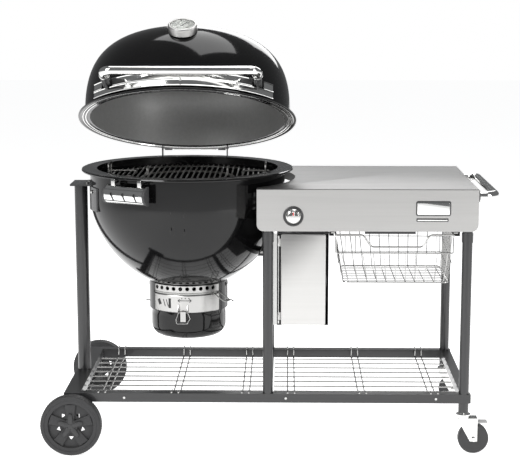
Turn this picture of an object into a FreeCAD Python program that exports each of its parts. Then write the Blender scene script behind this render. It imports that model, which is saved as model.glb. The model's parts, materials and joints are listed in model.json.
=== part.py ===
import FreeCAD, Part

import math
import os

# Kettle charcoal grill on a cart, with its lid standing part open.
# Millimetres, +X to the table's end, +Y to the back, +Z up, floor at Z = 0.
# While it is drawn, X = 0 and Y = 0 lie on the axis of the front middle leg.

# --- cart ---
FRAME_DEPTH = 597.0        # front legs' axes to back legs' axes
AXLE_X = -655.0            # the big wheels' axle, and the kettle post above it
RIGHT_X = 654.0            # axes of the two right legs
LEG_R = 17.0
COLLAR_R = 19.0
POST_R = 22.7
TUBE_WALL = 2.0
RAIL_W = 32.0
RAIL_H = 30.0
RAIL_TOP = 203.0
LEFT_RAIL = (-682.0, -627.0)
LEG_TOP = 891.0
POST_TOP = 866.0
# --- running gear ---
WHEEL_R = 102.0
WHEEL_W = 40.0
FRONT_WHEEL_Y = -61.0      # outer face of the front wheel
BACK_WHEEL_Y = 683.0       # inner face of the back wheel
AXLE_R = 6.0
CASTER_R = 51.0
CASTER_W = 30.0
CASTER_TRAIL = 34.0
# --- kettle ---
KETTLE_X = -282.5
KETTLE_Y = FRAME_DEPTH / 2
RIM_Z = 927.0
RIM_R = 366.0
BOWL_R = 337.0
BOWL_HIPS = 823.0          # height at which the straight wall turns into the bowl
BOWL_DEPTH = 327.0
BOWL_POWER = 1.8
SKIN = 1.6
WALL_GAP = 22.0            # outer skin to inner skin
NECK_R = 138.0
NECK_TOP = 534.0
NECK_BOTTOM = 437.0
POT_R = 131.0
POT_BOTTOM = 338.0
GRATE_Z = 897.0
GRATE_R = 301.0
INSERT_R = 152.0
BAR_R = 3.0
BAR_PITCH = 19.0
RING_ARCS = 12
FIELD_BARS = 10             # bars each side of the middle; the last one carries a flap
# --- lid ---
LID_Z = 932.0              # rim plane of the closed lid
LID_RIM_R = 377.0
LID_R = 356.5
LID_HEIGHT = 355.0
LID_SINK = 67.0            # how far the dome's widest level lies below the rim plane
LID_POWER_R = 3.09
LID_POWER_Z = 3.91
LID_GAP = 18.0
LID_HANDLE_X = 248.5       # middle of the handle to the middle of each bracket
LID_HANDLE_OUT = 39.5      # the dome's side to the handle's axis
LID_HANDLE_Z = 50.0
LID_HANDLE_R = 14.5
SHIELD_X = 296.0
SHIELD_Z = (8.0, 58.0)
HINGE_Y = 724.0
HINGE_Z = 945.0
HINGE_PIN_R = 4.0
LID_OPEN = 21.24           # degrees open at rest
DIAL_TILT = 45.0
VENT_TILT = -13.0
# --- table ---
TABLE_X = (-36.5, 686.0)
TABLE_Y = (-20.0, 611.0)
TABLE_TOP = 893.0
PANEL_BOTTOM = 754.0
SHEET = 1.5
KNOB = (83.0, 804.0)
HANDLE_X = 750.0
HANDLE_Y = (48.0, 540.0)
HANDLE_Z = 862.0
HANDLE_R = 16.0
# --- under the table ---
BOX_X = (30.0, 200.0)
BOX_Y = (6.0, 190.0)
BOX_Z = (434.0, 743.0)
BASKET_X = (224.0, 610.0)
BASKET_FOOT_X = (250.0, 597.0)
BASKET_Y = (10.0, 318.0)
BASKET_Z = (574.0, 677.0, 738.0)
# --- racks ---
WIRE_R = 2.5
RACK_ROWS = 8
RACK_PITCH = 61.0
RACK_FIRST_Y = 85.0
RACK_DROP = 24.0           # cross wires' axes below the rails' top
PAIR_HALF = 11.5

X = FreeCAD.Vector(1, 0, 0)
Y = FreeCAD.Vector(0, 1, 0)
Z = FreeCAD.Vector(0, 0, 1)
CLEAR = 0.05               # radial running clearance of a shaft in its hole


def vec(x, y, z):
    return FreeCAD.Vector(x, y, z)


def box(xs, ys, zs):
    return Part.makeBox(xs[1] - xs[0], ys[1] - ys[0], zs[1] - zs[0], vec(xs[0], ys[0], zs[0]))


def rod(start, end, radius):
    """A straight round bar from one point to another."""
    run = end.sub(start)
    return Part.makeCylinder(radius, run.Length, start, run)


def tube(start, end, radius, wall):
    return rod(start, end, radius).cut(rod(start, end, radius - wall))


def bent(points, radius, bend):
    """A round bar through the points, every corner turned on the same bend radius."""
    edges = []
    last = points[0]
    for i in range(1, len(points) - 1):
        back = points[i - 1].sub(points[i]).normalize()
        ahead = points[i + 1].sub(points[i]).normalize()
        half = back.getAngle(ahead) / 2
        reach = bend / math.tan(half)
        enter = points[i].add(back * reach)
        leave = points[i].add(ahead * reach)
        inward = (back + ahead).normalize()
        middle = points[i].add(inward * (bend / math.sin(half) - bend))
        if enter.sub(last).Length > 0.01:
            edges.append(Part.LineSegment(last, enter).toShape())
        edges.append(Part.Arc(enter, middle, leave).toShape())
        last = leave
    edges.append(Part.LineSegment(last, points[-1]).toShape())
    section = Part.Wire(Part.makeCircle(radius, points[0], points[1].sub(points[0])))
    return Part.Wire(edges).makePipeShell([section], True, False)


def turned(outline, x=KETTLE_X, y=KETTLE_Y):
    """A solid of revolution about a vertical axis, from (radius, height) points."""
    points = [vec(x + r, y, z) for r, z in outline]
    face = Part.Face(Part.makePolygon(points + points[:1]))
    return face.revolve(vec(x, y, 0), Z, 360)


def ring(radius, section, z, x=KETTLE_X, y=KETTLE_Y):
    return Part.makeTorus(radius, section, vec(x, y, z))


def disc(radius, z, height, x=KETTLE_X, y=KETTLE_Y):
    return Part.makeCylinder(radius, height, vec(x, y, z))


def about(shape, angle, x=KETTLE_X, y=KETTLE_Y):
    """The shape turned about a vertical axis."""
    return shape.copy().rotate(vec(x, y, 0), Z, angle)


def sector(radius, zs, start, span):
    """A wedge about the kettle's axis, for cutting bands and slots to length."""
    wedge = Part.makeCylinder(radius, zs[1] - zs[0], vec(KETTLE_X, KETTLE_Y, zs[0]), Z, span)
    return about(wedge, start)


def group(shapes):
    return Part.makeCompound(list(shapes))


def fuse(shapes):
    return shapes[0].multiFuse(shapes[1:]).removeSplitter()


def curve(points):
    spline = Part.BSplineCurve()
    spline.interpolate(points)
    return spline.toShape()


# ---------------------------------------------------------------- cart frame

def legs():
    top = {"front_middle_leg": (0, 0), "back_middle_leg": (0, FRAME_DEPTH),
           "front_right_leg": (RIGHT_X, 0), "back_right_leg": (RIGHT_X, FRAME_DEPTH)}
    made = {}
    for name, (x, y) in top.items():
        made[name] = tube(vec(x, y, RAIL_TOP), vec(x, y, LEG_TOP), LEG_R, TUBE_WALL)
    made["kettle_post"] = tube(vec(AXLE_X, KETTLE_Y, RAIL_TOP), vec(AXLE_X, KETTLE_Y, POST_TOP),
                               POST_R, TUBE_WALL)
    return made


def leg_collars():
    """Sleeves that brace the tops of the four legs."""
    collars = []
    for x in (0, RIGHT_X):
        for y in (0, FRAME_DEPTH):
            sleeve = disc(COLLAR_R, 716, 30, x, y).cut(disc(LEG_R, 716, 30, x, y))
            collars.append(sleeve)
    return group(collars)


def square_tube(xs, ys, zs, along):
    """A rectangular tube, open at its two ends."""
    inner = [[low + TUBE_WALL, high - TUBE_WALL] for low, high in (xs, ys, zs)]
    inner["XY".index(along)] = [(xs, ys)["XY".index(along)][0] - 1, (xs, ys)["XY".index(along)][1] + 1]
    return box(xs, ys, zs).cut(box(*inner))


def rails():
    half = RAIL_W / 2
    zs = (RAIL_TOP - RAIL_H, RAIL_TOP)
    right_end = RIGHT_X + LEG_R + 3
    front = (-half, half)
    back = (FRAME_DEPTH - half, FRAME_DEPTH + half)
    between = (half, FRAME_DEPTH - half)
    made = {}
    for name, ys in (("front_rail", front), ("back_rail", back)):
        made[name] = square_tube((LEFT_RAIL[1], right_end), ys, zs, "X")
    made["left_rail"] = square_tube(LEFT_RAIL, (-half, FRAME_DEPTH + half), zs, "Y")
    made["right_rail"] = square_tube((right_end - RAIL_W, right_end), between, zs, "Y")
    made["middle_rail"] = square_tube((-half, half), between, zs, "Y")
    return made


def rail_plugs():
    """Plugs in the open ends of the rails."""
    half = RAIL_W / 2
    zs = (RAIL_TOP - RAIL_H, RAIL_TOP)
    end = RIGHT_X + LEG_R + 3
    plugs = []
    for y in (0, FRAME_DEPTH):
        plugs.append(box((end, end + 2), (y - half, y + half), zs))
    for y in (-half - 2, FRAME_DEPTH + half):
        plugs.append(box(LEFT_RAIL, (y, y + 2), zs))
    return group(plugs)


def axle():
    start = FRONT_WHEEL_Y + 6
    end = BACK_WHEEL_Y + WHEEL_W - 6
    return rod(vec(AXLE_X, start, WHEEL_R), vec(AXLE_X, end, WHEEL_R), AXLE_R)


def axle_brackets():
    """Two cheek plates under the left rail that carry the axle, and the wheels' spacers."""
    plates = []
    foot = WHEEL_R - 20
    top = RAIL_TOP - RAIL_H
    hole = rod(vec(AXLE_X, -100, WHEEL_R), vec(AXLE_X, 800, WHEEL_R), AXLE_R)
    for y in (-8, FRAME_DEPTH):
        plate = box((AXLE_X - 20, AXLE_X + 20), (y, y + 8), (foot, top))
        web = box((AXLE_X - 26, AXLE_X - 20), (y - 4, y + 12), (foot + 10, top))
        plates.append(plate.cut(hole))
        plates.append(web)
    for y0, y1 in ((FRONT_WHEEL_Y + WHEEL_W + 1, -8), (FRAME_DEPTH + 8, BACK_WHEEL_Y - 1)):
        plates.append(tube(vec(AXLE_X, y0, WHEEL_R), vec(AXLE_X, y1, WHEEL_R), AXLE_R + 4, 4))
    return group(plates)


def caster_sockets():
    sockets = []
    for y in (0, FRAME_DEPTH):
        sleeve = disc(LEG_R, 140, RAIL_TOP - RAIL_H - 140, RIGHT_X, y)
        sockets.append(sleeve.cut(disc(5 + CLEAR, 130, RAIL_TOP, RIGHT_X, y)))
    return group(sockets)


# ---------------------------------------------------------------- wheels and casters

def big_wheel(y, outward):
    """Moulded wheel: ring, five broad spokes and a hub, on the axle at one end."""
    centre = vec(AXLE_X, y, WHEEL_R)
    end = vec(AXLE_X, y + WHEEL_W, WHEEL_R)
    rim = rod(centre, end, WHEEL_R - 12).cut(rod(centre, end, WHEEL_R - 26))
    hub = rod(centre, end, 30)
    middle = y + WHEEL_W / 2
    parts = [rim, hub]
    for i in range(5):
        spoke = box((AXLE_X - 16, AXLE_X + 16), (middle - 12, middle + 12),
                    (WHEEL_R + 25, WHEEL_R + WHEEL_R - 22))
        parts.append(spoke.rotate(vec(AXLE_X, 0, WHEEL_R), Y, 72 * i))
    body = fuse(parts)
    bore = rod(vec(AXLE_X, y - 1, WHEEL_R), vec(AXLE_X, y + WHEEL_W + 1, WHEEL_R), AXLE_R + CLEAR)
    face = y if outward < 0 else y + WHEEL_W
    pocket = rod(vec(AXLE_X, face, WHEEL_R), vec(AXLE_X, face - outward * 10, WHEEL_R), 14)
    return body.cut(bore).cut(pocket)


def big_tread(y):
    start = vec(AXLE_X, y, WHEEL_R)
    end = vec(AXLE_X, y + WHEEL_W, WHEEL_R)
    tread = rod(start, end, WHEEL_R)
    edges = [e for e in tread.Edges if abs(e.Length - 2 * math.pi * WHEEL_R) < 1]
    tread = tread.makeFillet(6, edges)
    return tread.cut(rod(start, end, WHEEL_R - 12))


def hub_cap(y, outward):
    """Star cap over the axle's end, plugged into the hub's pocket."""
    face = y if outward < 0 else y + WHEEL_W
    centre = vec(AXLE_X, face, WHEEL_R)
    cap = rod(centre, vec(AXLE_X, face + outward * 5, WHEEL_R), 26)
    plug = rod(vec(AXLE_X, face - outward * 4, WHEEL_R), centre, 13.9)
    return fuse([cap, plug])


def caster(y):
    """One swivel caster: fork with its stem, wheel, axle bolt and brake pedal."""
    wx = RIGHT_X + CASTER_TRAIL
    stem = disc(5, 128, 40, RIGHT_X, y)
    cup = disc(24, 122, 12, RIGHT_X, y)
    crown = box((RIGHT_X - 20, wx + 12), (y - 20, y + 20), (116, 122))
    arms = []
    bolt_hole = rod(vec(wx, y - 40, CASTER_R), vec(wx, y + 40, CASTER_R), 4)
    for side in (-20, 17.5):
        outline = [vec(RIGHT_X - 20, y + side, 119), vec(wx + 12, y + side, 119),
                   vec(wx + 12, y + side, CASTER_R - 8), vec(wx - 12, y + side, CASTER_R - 8)]
        plate = Part.Face(Part.makePolygon(outline + outline[:1])).extrude(Y * 2.5)
        arms.append(plate.cut(bolt_hole))
    fork = fuse([stem, cup, crown] + arms)
    half = CASTER_W / 2
    wheel = rod(vec(wx, y - half, CASTER_R), vec(wx, y + half, CASTER_R), CASTER_R)
    rims = [e for e in wheel.Edges if abs(e.Length - 2 * math.pi * CASTER_R) < 1]
    wheel = wheel.makeFillet(5, rims)
    wheel = wheel.cut(rod(vec(wx, y - 40, CASTER_R), vec(wx, y + 40, CASTER_R), 4 + CLEAR))
    bolt = rod(vec(wx, y - 22, CASTER_R), vec(wx, y + 22, CASTER_R), 4)
    heads = [rod(vec(wx, y - 27, CASTER_R), vec(wx, y - 20, CASTER_R), 7),
             rod(vec(wx, y + 20, CASTER_R), vec(wx, y + 27, CASTER_R), 7)]
    pin = rod(vec(wx + 4, y - 17.5, 110), vec(wx + 4, y + 17.5, 110), 2)
    pin_way = rod(vec(wx + 4, y - 30, 110), vec(wx + 4, y + 30, 110), 2 + CLEAR)
    pedal = box((wx + 14, wx + 46), (y - 17.1, y + 17.1), (105, 109))
    ears = [box((wx - 1, wx + 15), (y + side, y + side + 1.8), (105, 115)) for side in (-17.1, 15.3)]
    brake = fuse([pedal] + ears).cut(pin_way)
    return fork, wheel, group([fuse([bolt] + heads), pin]), brake


# ---------------------------------------------------------------- kettle

def super_arc(radius, depth, power_r, power_z, start, end, steps=12):
    """Points of a rounded bowl or dome, from angle start to end; 90 degrees is on the axis."""
    points = []
    for i in range(steps + 1):
        a = math.radians(start + (end - start) * i / steps)
        r = radius * max(math.cos(a), 0.0) ** (2 / power_r)
        points.append((r, depth * math.sin(a) ** (2 / power_z)))
    return points


def cut_angle(radius, power, r):
    """The angle at which a bowl of this radius and power has narrowed to r."""
    return math.degrees(math.acos((r / radius) ** (power / 2)))


def bowl_skin(inset, neck):
    """Outer curve of a bowl skin, from its neck up to its straight wall's top."""
    radius = BOWL_R - inset
    depth = BOWL_DEPTH - inset
    arc = super_arc(radius, depth, BOWL_POWER, BOWL_POWER, 0, cut_angle(radius, BOWL_POWER, neck))
    return [(r, BOWL_HIPS - z) for r, z in arc]


def shell_of(outer, inner, top):
    """Revolved thin shell between two curves that share one straight-walled top."""
    def place(points):
        return [vec(KETTLE_X + r, KETTLE_Y, z) for r, z in points]
    a = place(outer)
    b = place(inner)
    edges = [curve(a), curve(b),
             Part.makeLine(a[0], vec(a[0].x, a[0].y, top)),
             Part.makeLine(vec(a[0].x, a[0].y, top), vec(b[0].x, b[0].y, top)),
             Part.makeLine(vec(b[0].x, b[0].y, top), b[0]),
             Part.makeLine(a[-1], b[-1])]
    wire = Part.Wire(Part.__sortEdges__(edges))
    return Part.Face(wire).revolve(vec(KETTLE_X, KETTLE_Y, 0), Z, 360)


def bowl_body():
    """The bowl's whole outer form as a solid, for fitting brackets to it."""
    points = [vec(KETTLE_X + r, KETTLE_Y, z) for r, z in bowl_skin(0, NECK_R)]
    foot = vec(KETTLE_X, KETTLE_Y, points[-1].z)
    crown = vec(KETTLE_X, KETTLE_Y, RIM_Z)
    brim = vec(KETTLE_X + BOWL_R, KETTLE_Y, RIM_Z)
    edges = [curve(points), Part.makeLine(points[-1], foot), Part.makeLine(foot, crown),
             Part.makeLine(crown, brim), Part.makeLine(brim, points[0])]
    return Part.Face(Part.Wire(Part.__sortEdges__(edges))).revolve(foot, Z, 360)


def burner_path():
    return vec(KETTLE_X + 240, KETTLE_Y - 60, 640), vec(KETTLE_X + 330, KETTLE_Y - 60, 640)


def bowl():
    flat = RIM_Z - 2
    shell = shell_of(bowl_skin(0, NECK_R), bowl_skin(SKIN, NECK_R - 2), flat)
    liner = shell_of(bowl_skin(WALL_GAP, NECK_R - 10), bowl_skin(WALL_GAP + SKIN, NECK_R - 12), flat)
    a, b = burner_path()
    way = rod(a.sub(X * 80), b, 9)
    rim = turned([(BOWL_R - WALL_GAP - SKIN, flat), (RIM_R - 5, flat), (RIM_R - 5, RIM_Z),
                  (BOWL_R - WALL_GAP - SKIN, RIM_Z)])
    lip = ring(RIM_R - 4.5, 4.5, RIM_Z - 4.5)
    return {"bowl_shell": shell.cut(way), "bowl_liner": liner, "bowl_rim": fuse([rim, lip])}


def vent_holes(radius):
    """Three groups of ten round holes through the neck."""
    drills = []
    for third in range(3):
        for i in range(10):
            angle = -137 + i * 9.75 + third * 120
            drill = rod(vec(KETTLE_X + radius - 20, KETTLE_Y, 521.5),
                        vec(KETTLE_X + radius + 20, KETTLE_Y, 521.5), 7.0)
            drills.append(about(drill, angle))
    return group(drills)


def neck():
    inner = NECK_R - SKIN
    collar = turned([(inner, NECK_BOTTOM), (NECK_R, NECK_BOTTOM), (NECK_R, NECK_TOP - 1),
                     (inner, NECK_TOP - 1)])
    slot = sector(NECK_R + 10, (499, 506), -146, 112).cut(disc(NECK_R - 15, 499, 7))
    face = turned([(NECK_R, 507), (NECK_R + 1.2, 507), (NECK_R + 1.2, 532), (NECK_R, 532)])
    lower = turned([(NECK_R, 439), (NECK_R + 1.2, 439), (NECK_R + 1.2, 498), (NECK_R, 498)])
    drills = vent_holes(NECK_R)
    made = {"vent_collar": collar.cut(slot).cut(drills)}
    made["vent_face_band"] = face.common(sector(NECK_R + 5, (500, 540), -141.5, 103)).cut(drills)
    made["ash_face_band"] = lower.common(sector(NECK_R + 5, (430, 500), -142, 104))
    return made


def sweeper():
    """Shaft, three blades and the damper ring that turns inside the neck."""
    ring_r = NECK_R - SKIN - 1
    damper = turned([(ring_r - 1.5, 478), (ring_r, 478), (ring_r, 532), (ring_r - 1.5, 532)])
    damper = damper.cut(vent_holes(ring_r))
    hub = disc(12, 515, 40)
    shaft = disc(5, 448, 70)
    blades = []
    for i in range(3):
        blade = box((KETTLE_X + 8, KETTLE_X + ring_r - 0.7), (KETTLE_Y - 2, KETTLE_Y + 2), (506, 513))
        wing = box((KETTLE_X + 8, KETTLE_X + 112), (KETTLE_Y - 14, KETTLE_Y + 14), (537, 541))
        blades += [about(blade, 120 * i + 15), about(wing, 120 * i)]
    post = disc(12, 505, 15)
    return fuse([hub, shaft, post, damper] + blades)


def sweeper_bearing():
    """Bridge across the neck with the bearing for the sweeper's shaft."""
    inner = NECK_R - SKIN
    bridge = box((KETTLE_X - inner + 1, KETTLE_X + inner - 1), (KETTLE_Y - 10, KETTLE_Y + 10), (456, 460))
    boss = disc(11, 456, 14)
    ends = [box((KETTLE_X + s * (inner - 6) - 3, KETTLE_X + s * (inner - 6) + 3),
                (KETTLE_Y - 10, KETTLE_Y + 10), (450, 460)) for s in (-1, 1)]
    body = fuse([bridge, boss] + ends).common(disc(inner, 440, 60))
    return body.cut(disc(5 + CLEAR, 440, 60))


def sweeper_lever():
    """Flat wire loop that comes out through the slot, on the front right."""
    inner = NECK_R - SKIN - 2.5
    c = vec(KETTLE_X, KETTLE_Y, 0)
    z = 502.5
    points = [c + vec(inner, -13, z), c + vec(NECK_R + 8, -14, z), c + vec(NECK_R + 62, -15, z - 20),
              c + vec(NECK_R + 62, 15, z - 20), c + vec(NECK_R + 8, 14, z), c + vec(inner, 13, z)]
    return about(bent(points, 2.2, 6), -45)


def ash_pot():
    """Deep round pan under the neck, its foot turned on a large radius."""
    wall = 1.5
    top = NECK_BOTTOM - 1
    outer = [(POT_R, top), (POT_R, POT_BOTTOM + 44)]
    inner = [(POT_R - wall, top), (POT_R - wall, POT_BOTTOM + 44)]
    for i in range(1, 7):
        a = math.radians(15 * i)
        outer.append((POT_R - 44 + 44 * math.cos(a), POT_BOTTOM + 44 - 44 * math.sin(a)))
        inner.append((POT_R - 44 + (44 - wall) * math.cos(a), POT_BOTTOM + 44 - (44 - wall) * math.sin(a)))
    return turned(outer + [(0, POT_BOTTOM), (0, POT_BOTTOM + wall)] + inner[::-1])


def pot_latch():
    """Wire loop and thumb plate that hold the ash pot up at the front."""
    y = KETTLE_Y - NECK_R - 8
    x = KETTLE_X - 10
    z = NECK_BOTTOM + 4
    loop = bent([vec(x - 16, y, z), vec(x - 24, y - 3, z - 22), vec(x - 22, y - 5, z - 38),
                 vec(x + 14, y - 5, z - 38), vec(x + 24, y - 3, z - 20), vec(x + 16, y, z)], 1.8, 4)
    bar = rod(vec(x - 18, y, z), vec(x + 18, y, z), 2.2)
    plate = box((x - 9, x + 9), (y - 4, y - 1.5), (z - 32, z + 3))
    return fuse([loop, bar, plate])


def latch_hooks():
    """Lugs on the neck that the pot's latch swings in, and the pins at the pot's sides."""
    y = KETTLE_Y - NECK_R - 8
    x = KETTLE_X - 10
    z = NECK_BOTTOM + 4
    lugs = []
    for s in (-1, 1):
        lug = box((x + s * 12 - 2, x + s * 12 + 2), (y - 4, KETTLE_Y - NECK_R + 6), (z - 1.9, z + 5))
        lug = lug.cut(disc(NECK_R + 1.2, z - 5, 20)).cut(rod(vec(x - 30, y, z), vec(x + 30, y, z), 2.25))
        lugs.append(lug)
        pin = rod(vec(KETTLE_X + s * NECK_R, KETTLE_Y, 455), vec(KETTLE_X + s * (NECK_R + 14), KETTLE_Y, 455), 2)
        lugs.append(pin.cut(disc(NECK_R, 440, 60)))
    return group(lugs)


def kettle_brackets():
    """Left flange on the post, and the middle legs' cross bar with the saddle on it."""
    clear = disc(BOWL_R, 700, 300)
    cap = box((AXLE_X - 30, -590), (KETTLE_Y - 60, KETTLE_Y + 60), (POST_TOP, POST_TOP + 6))
    nose = box((-612, -560), (KETTLE_Y - 170, KETTLE_Y + 170), (792, POST_TOP + 6))
    shell = disc(BOWL_R + 5, 792, POST_TOP + 6 - 792).cut(disc(BOWL_R, 790, 100))
    left = fuse([cap.cut(clear), shell.common(nose)])
    bar = box((-14, 14), (LEG_R, FRAME_DEPTH - LEG_R), (596, 622))
    bar = bar.cut(disc(LEG_R, 500, 200, 0, 0)).cut(disc(LEG_R, 500, 200, 0, FRAME_DEPTH))
    saddle = box((-60, 14), (KETTLE_Y - 50, KETTLE_Y + 50), (622, 652)).cut(bowl_body())
    return left, bar, saddle.common(box((-60, 14), (0, 600), (0, 700)))


def frame_bolts():
    """Round-headed bolts of the kettle's brackets and the racks' rails."""
    heads = []
    for y in (KETTLE_Y - 130, KETTLE_Y + 130):
        dx = math.sqrt((BOWL_R + 5) ** 2 - 130 ** 2)
        head = rod(vec(KETTLE_X - dx, y, 856), vec(KETTLE_X - dx - 5, y, 856), 6)
        heads.append(head.cut(disc(BOWL_R + 5, 840, 40)))
    for y in (KETTLE_Y - 30, KETTLE_Y + 30):
        heads.append(disc(6, POST_TOP + 6, 4, AXLE_X + 26, y))
    for x in (-480, 60, 560):
        heads.append(rod(vec(x, -RAIL_W / 2, RAIL_TOP - 15), vec(x, -RAIL_W / 2 - 2, RAIL_TOP - 15), 4))
    return group(heads)


def tool_handle():
    """Half-round plate with three key-shaped tool hooks, on two end caps, left of the front."""
    angle = -119.0
    long = 150.0
    rise = 31.0
    def half_pipe(grow, x0, x1):
        r = rise + grow
        core = Part.makeCylinder(r, x1 - x0, vec(x0, 0, 0), X)
        return core.common(box((x0, x1), (-r, 0.0), (-r, r)))
    plate = half_pipe(0, -long / 2, long / 2).cut(half_pipe(-1.6, -long, long))
    for x in (-45, 0, 45):
        hole = Part.makeCylinder(6, 60, vec(x, -50, 3), Y)
        slot = box((x - 2.5, x + 5.5), (-50, 0), (-20, 3))
        plate = plate.cut(hole).cut(slot)
    caps = [half_pipe(1.0, long / 2, long / 2 + 9), half_pipe(1.0, -long / 2 - 9, -long / 2)]
    back = box((-long / 2 - 9, long / 2 + 9), (0, 3), (-rise, rise))
    def hang(shape):
        shape = shape.copy()
        shape.translate(vec(KETTLE_X, KETTLE_Y - BOWL_R - 22, 872))
        return about(shape, angle + 90)
    strap = turned([(RIM_R + 0.6, 902.1), (RIM_R + 2.2, 902.1), (RIM_R + 2.2, 924), (RIM_R + 0.6, 924)])
    straps = [strap.common(sector(400, (890, 930), angle + side - 1.1, 2.2)) for side in (-7, 6.4)]
    stays = [box((x - 8, x + 8), (3, 21.5), (-20, 20)) for x in (-60, 60)]
    body = fuse([back] + caps + stays)
    made = {"hook_handle_plate": hang(plate), "hook_handle_ends": hang(body).cut(disc(BOWL_R, 800, 120))}
    made["hook_handle_straps"] = group(straps)
    return made


# ---------------------------------------------------------------- grates

def chord(x, radius):
    return math.sqrt(max(radius ** 2 - x ** 2, 0.0))


def bar_y(x, y0, y1, z):
    return rod(vec(KETTLE_X + x, KETTLE_Y + y0, z), vec(KETTLE_X + x, KETTLE_Y + y1, z), BAR_R)


def grate_ring(radius, z):
    """Round wire ring, rolled from equal arcs butted end to end."""
    step = 360.0 / RING_ARCS
    arc = Part.makeTorus(radius, BAR_R, vec(KETTLE_X, KETTLE_Y, z), Z, -180, 180, step)
    return [about(arc, i * step) for i in range(RING_ARCS)]


def cooking_grate():
    """Fixed middle field of the cooking grate, round the centre insert."""
    pieces = grate_ring(GRATE_R, GRATE_Z - 2 * BAR_R)
    pieces += grate_ring(INSERT_R + 8, GRATE_Z - 2 * BAR_R)
    for i in range(-FIELD_BARS, FIELD_BARS + 1):
        x = i * BAR_PITCH
        outer = chord(x, GRATE_R)
        inner = chord(x, INSERT_R + 8)
        if inner < 1:
            pieces.append(bar_y(x, -outer, outer, GRATE_Z))
            continue
        pieces.append(bar_y(x, inner, outer, GRATE_Z))
        pieces.append(bar_y(x, -outer, -inner, GRATE_Z))
    return group(pieces)


def grate_flap(side):
    """Hinged outer flap: bars under two cross wires that end in eyes, and a hoop to lift it by."""
    pieces = []
    pivot = FIELD_BARS * BAR_PITCH
    inside = GRATE_R - 9
    z = GRATE_Z + 0.4
    for i in range(1, 6):
        x = pivot + i * (BAR_PITCH - 1)
        reach = chord(x, inside)
        pieces.append(bar_y(side * x, -reach, reach, z))
    last = pivot + 5 * (BAR_PITCH - 1)
    for y in (-80, 80):
        hub = vec(KETTLE_X + side * pivot, KETTLE_Y + y, GRATE_Z)
        a = vec(hub.x, hub.y, z + 2 * BAR_R)
        wire = rod(a, a.add(X * side * (last + 3 - pivot)), BAR_R)
        eye = tube(hub.sub(Y * 3.5), hub.add(Y * 3.5), 6.5, 6.5 - BAR_R - CLEAR)
        pieces.append(fuse([wire, eye]))
    x = KETTLE_X + side * (last - BAR_PITCH / 2)
    low = z + BAR_R + 0.2
    hoop = bent([vec(x, KETTLE_Y - 38, low), vec(x, KETTLE_Y - 38, low + 42),
                 vec(x, KETTLE_Y + 38, low + 42), vec(x, KETTLE_Y + 38, low)], BAR_R, 14)
    return group(pieces + [hoop])


def grate_insert():
    """Round centre insert with two loop handles."""
    pieces = grate_ring(INSERT_R, GRATE_Z - 2 * BAR_R)
    count = int((INSERT_R - BAR_R) // BAR_PITCH)
    for i in range(-count, count + 1):
        reach = chord(i * BAR_PITCH, INSERT_R)
        pieces.append(bar_y(i * BAR_PITCH, -reach, reach, GRATE_Z))
    for side in (-1, 1):
        x = KETTLE_X + side * (INSERT_R - 13)
        low = GRATE_Z + BAR_R + 0.2
        pieces.append(bent([vec(x, KETTLE_Y - 22, low), vec(x, KETTLE_Y - 22, low + 26),
                            vec(x, KETTLE_Y + 22, low + 26), vec(x, KETTLE_Y + 22, low)], BAR_R, 10))
    return group(pieces)


def charcoal_grate():
    z = 700.0
    radius = 266.0
    pieces = grate_ring(radius, z - 2 * BAR_R - 1)
    for i in range(-9, 10):
        x = i * 28.0
        pieces.append(bar_y(x, -chord(x, radius), chord(x, radius), z - 1))
    return group(pieces)


def grate_tabs():
    """Shelf tabs inside the inner skin that the two grates lie on."""
    tabs = []
    inner = BOWL_R - WALL_GAP - SKIN
    for i in range(4):
        tab = box((KETTLE_X + inner - 24, KETTLE_X + inner), (KETTLE_Y - 12, KETTLE_Y + 12),
                  (GRATE_Z - 3 * BAR_R - 3, GRATE_Z - 3 * BAR_R))
        tabs.append(about(tab, 45 + 90 * i).common(disc(inner, 800, 200)))
        low = box((KETTLE_X + 252, KETTLE_X + 290), (KETTLE_Y - 12, KETTLE_Y + 12), (687, 690))
        tabs.append(about(low, 45 + 90 * i))
    room = shell_of(bowl_skin(WALL_GAP, NECK_R - 10), bowl_skin(WALL_GAP + 80, 90), RIM_Z)
    return group([t.common(room) if t.BoundBox.ZMax < 800 else t for t in tabs])


def burner_tube():
    """Gas igniter tube, from the valve into the space between the kettle's two skins."""
    start, _ = burner_path()
    x = KNOB[0]
    return bent([start, vec(60, start.y, start.z), vec(60, start.y, 775), vec(x, 112, KNOB[1]),
                 vec(x, TABLE_Y[0] + 66.5, KNOB[1])], 7, 18)


# ---------------------------------------------------------------- lid

def lid_place(shape):
    """Moves a piece from the closed lid's own frame to its place on the part-open lid."""
    shape = shape.copy()
    shape.translate(vec(KETTLE_X, KETTLE_Y, LID_Z))
    return shape.rotate(vec(KETTLE_X, HINGE_Y, HINGE_Z), X, -LID_OPEN)


def dome_radius(z, inset=0.0):
    share = (z + LID_SINK) / (LID_HEIGHT - inset)
    return (LID_R - inset) * (1 - share ** LID_POWER_Z) ** (1 / LID_POWER_R)


def dome_curve(inset, steps=13):
    """Curve of a dome skin from its rim plane to its crown, in the lid's frame."""
    height = LID_HEIGHT - inset
    start = math.degrees(math.asin((LID_SINK / height) ** (LID_POWER_Z / 2)))
    arc = super_arc(LID_R - inset, height, LID_POWER_R, LID_POWER_Z, start, 90, steps)
    return [vec(r, 0, z - LID_SINK) for r, z in arc]


def dome_skin(inset, wall):
    outer = dome_curve(inset)
    inner = dome_curve(inset + wall)
    edges = [curve(outer), curve(inner), Part.makeLine(outer[0], inner[0]),
             Part.makeLine(outer[-1], inner[-1])]
    face = Part.Face(Part.Wire(Part.__sortEdges__(edges)))
    return face.revolve(vec(0, 0, 0), Z, 360)


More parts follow.
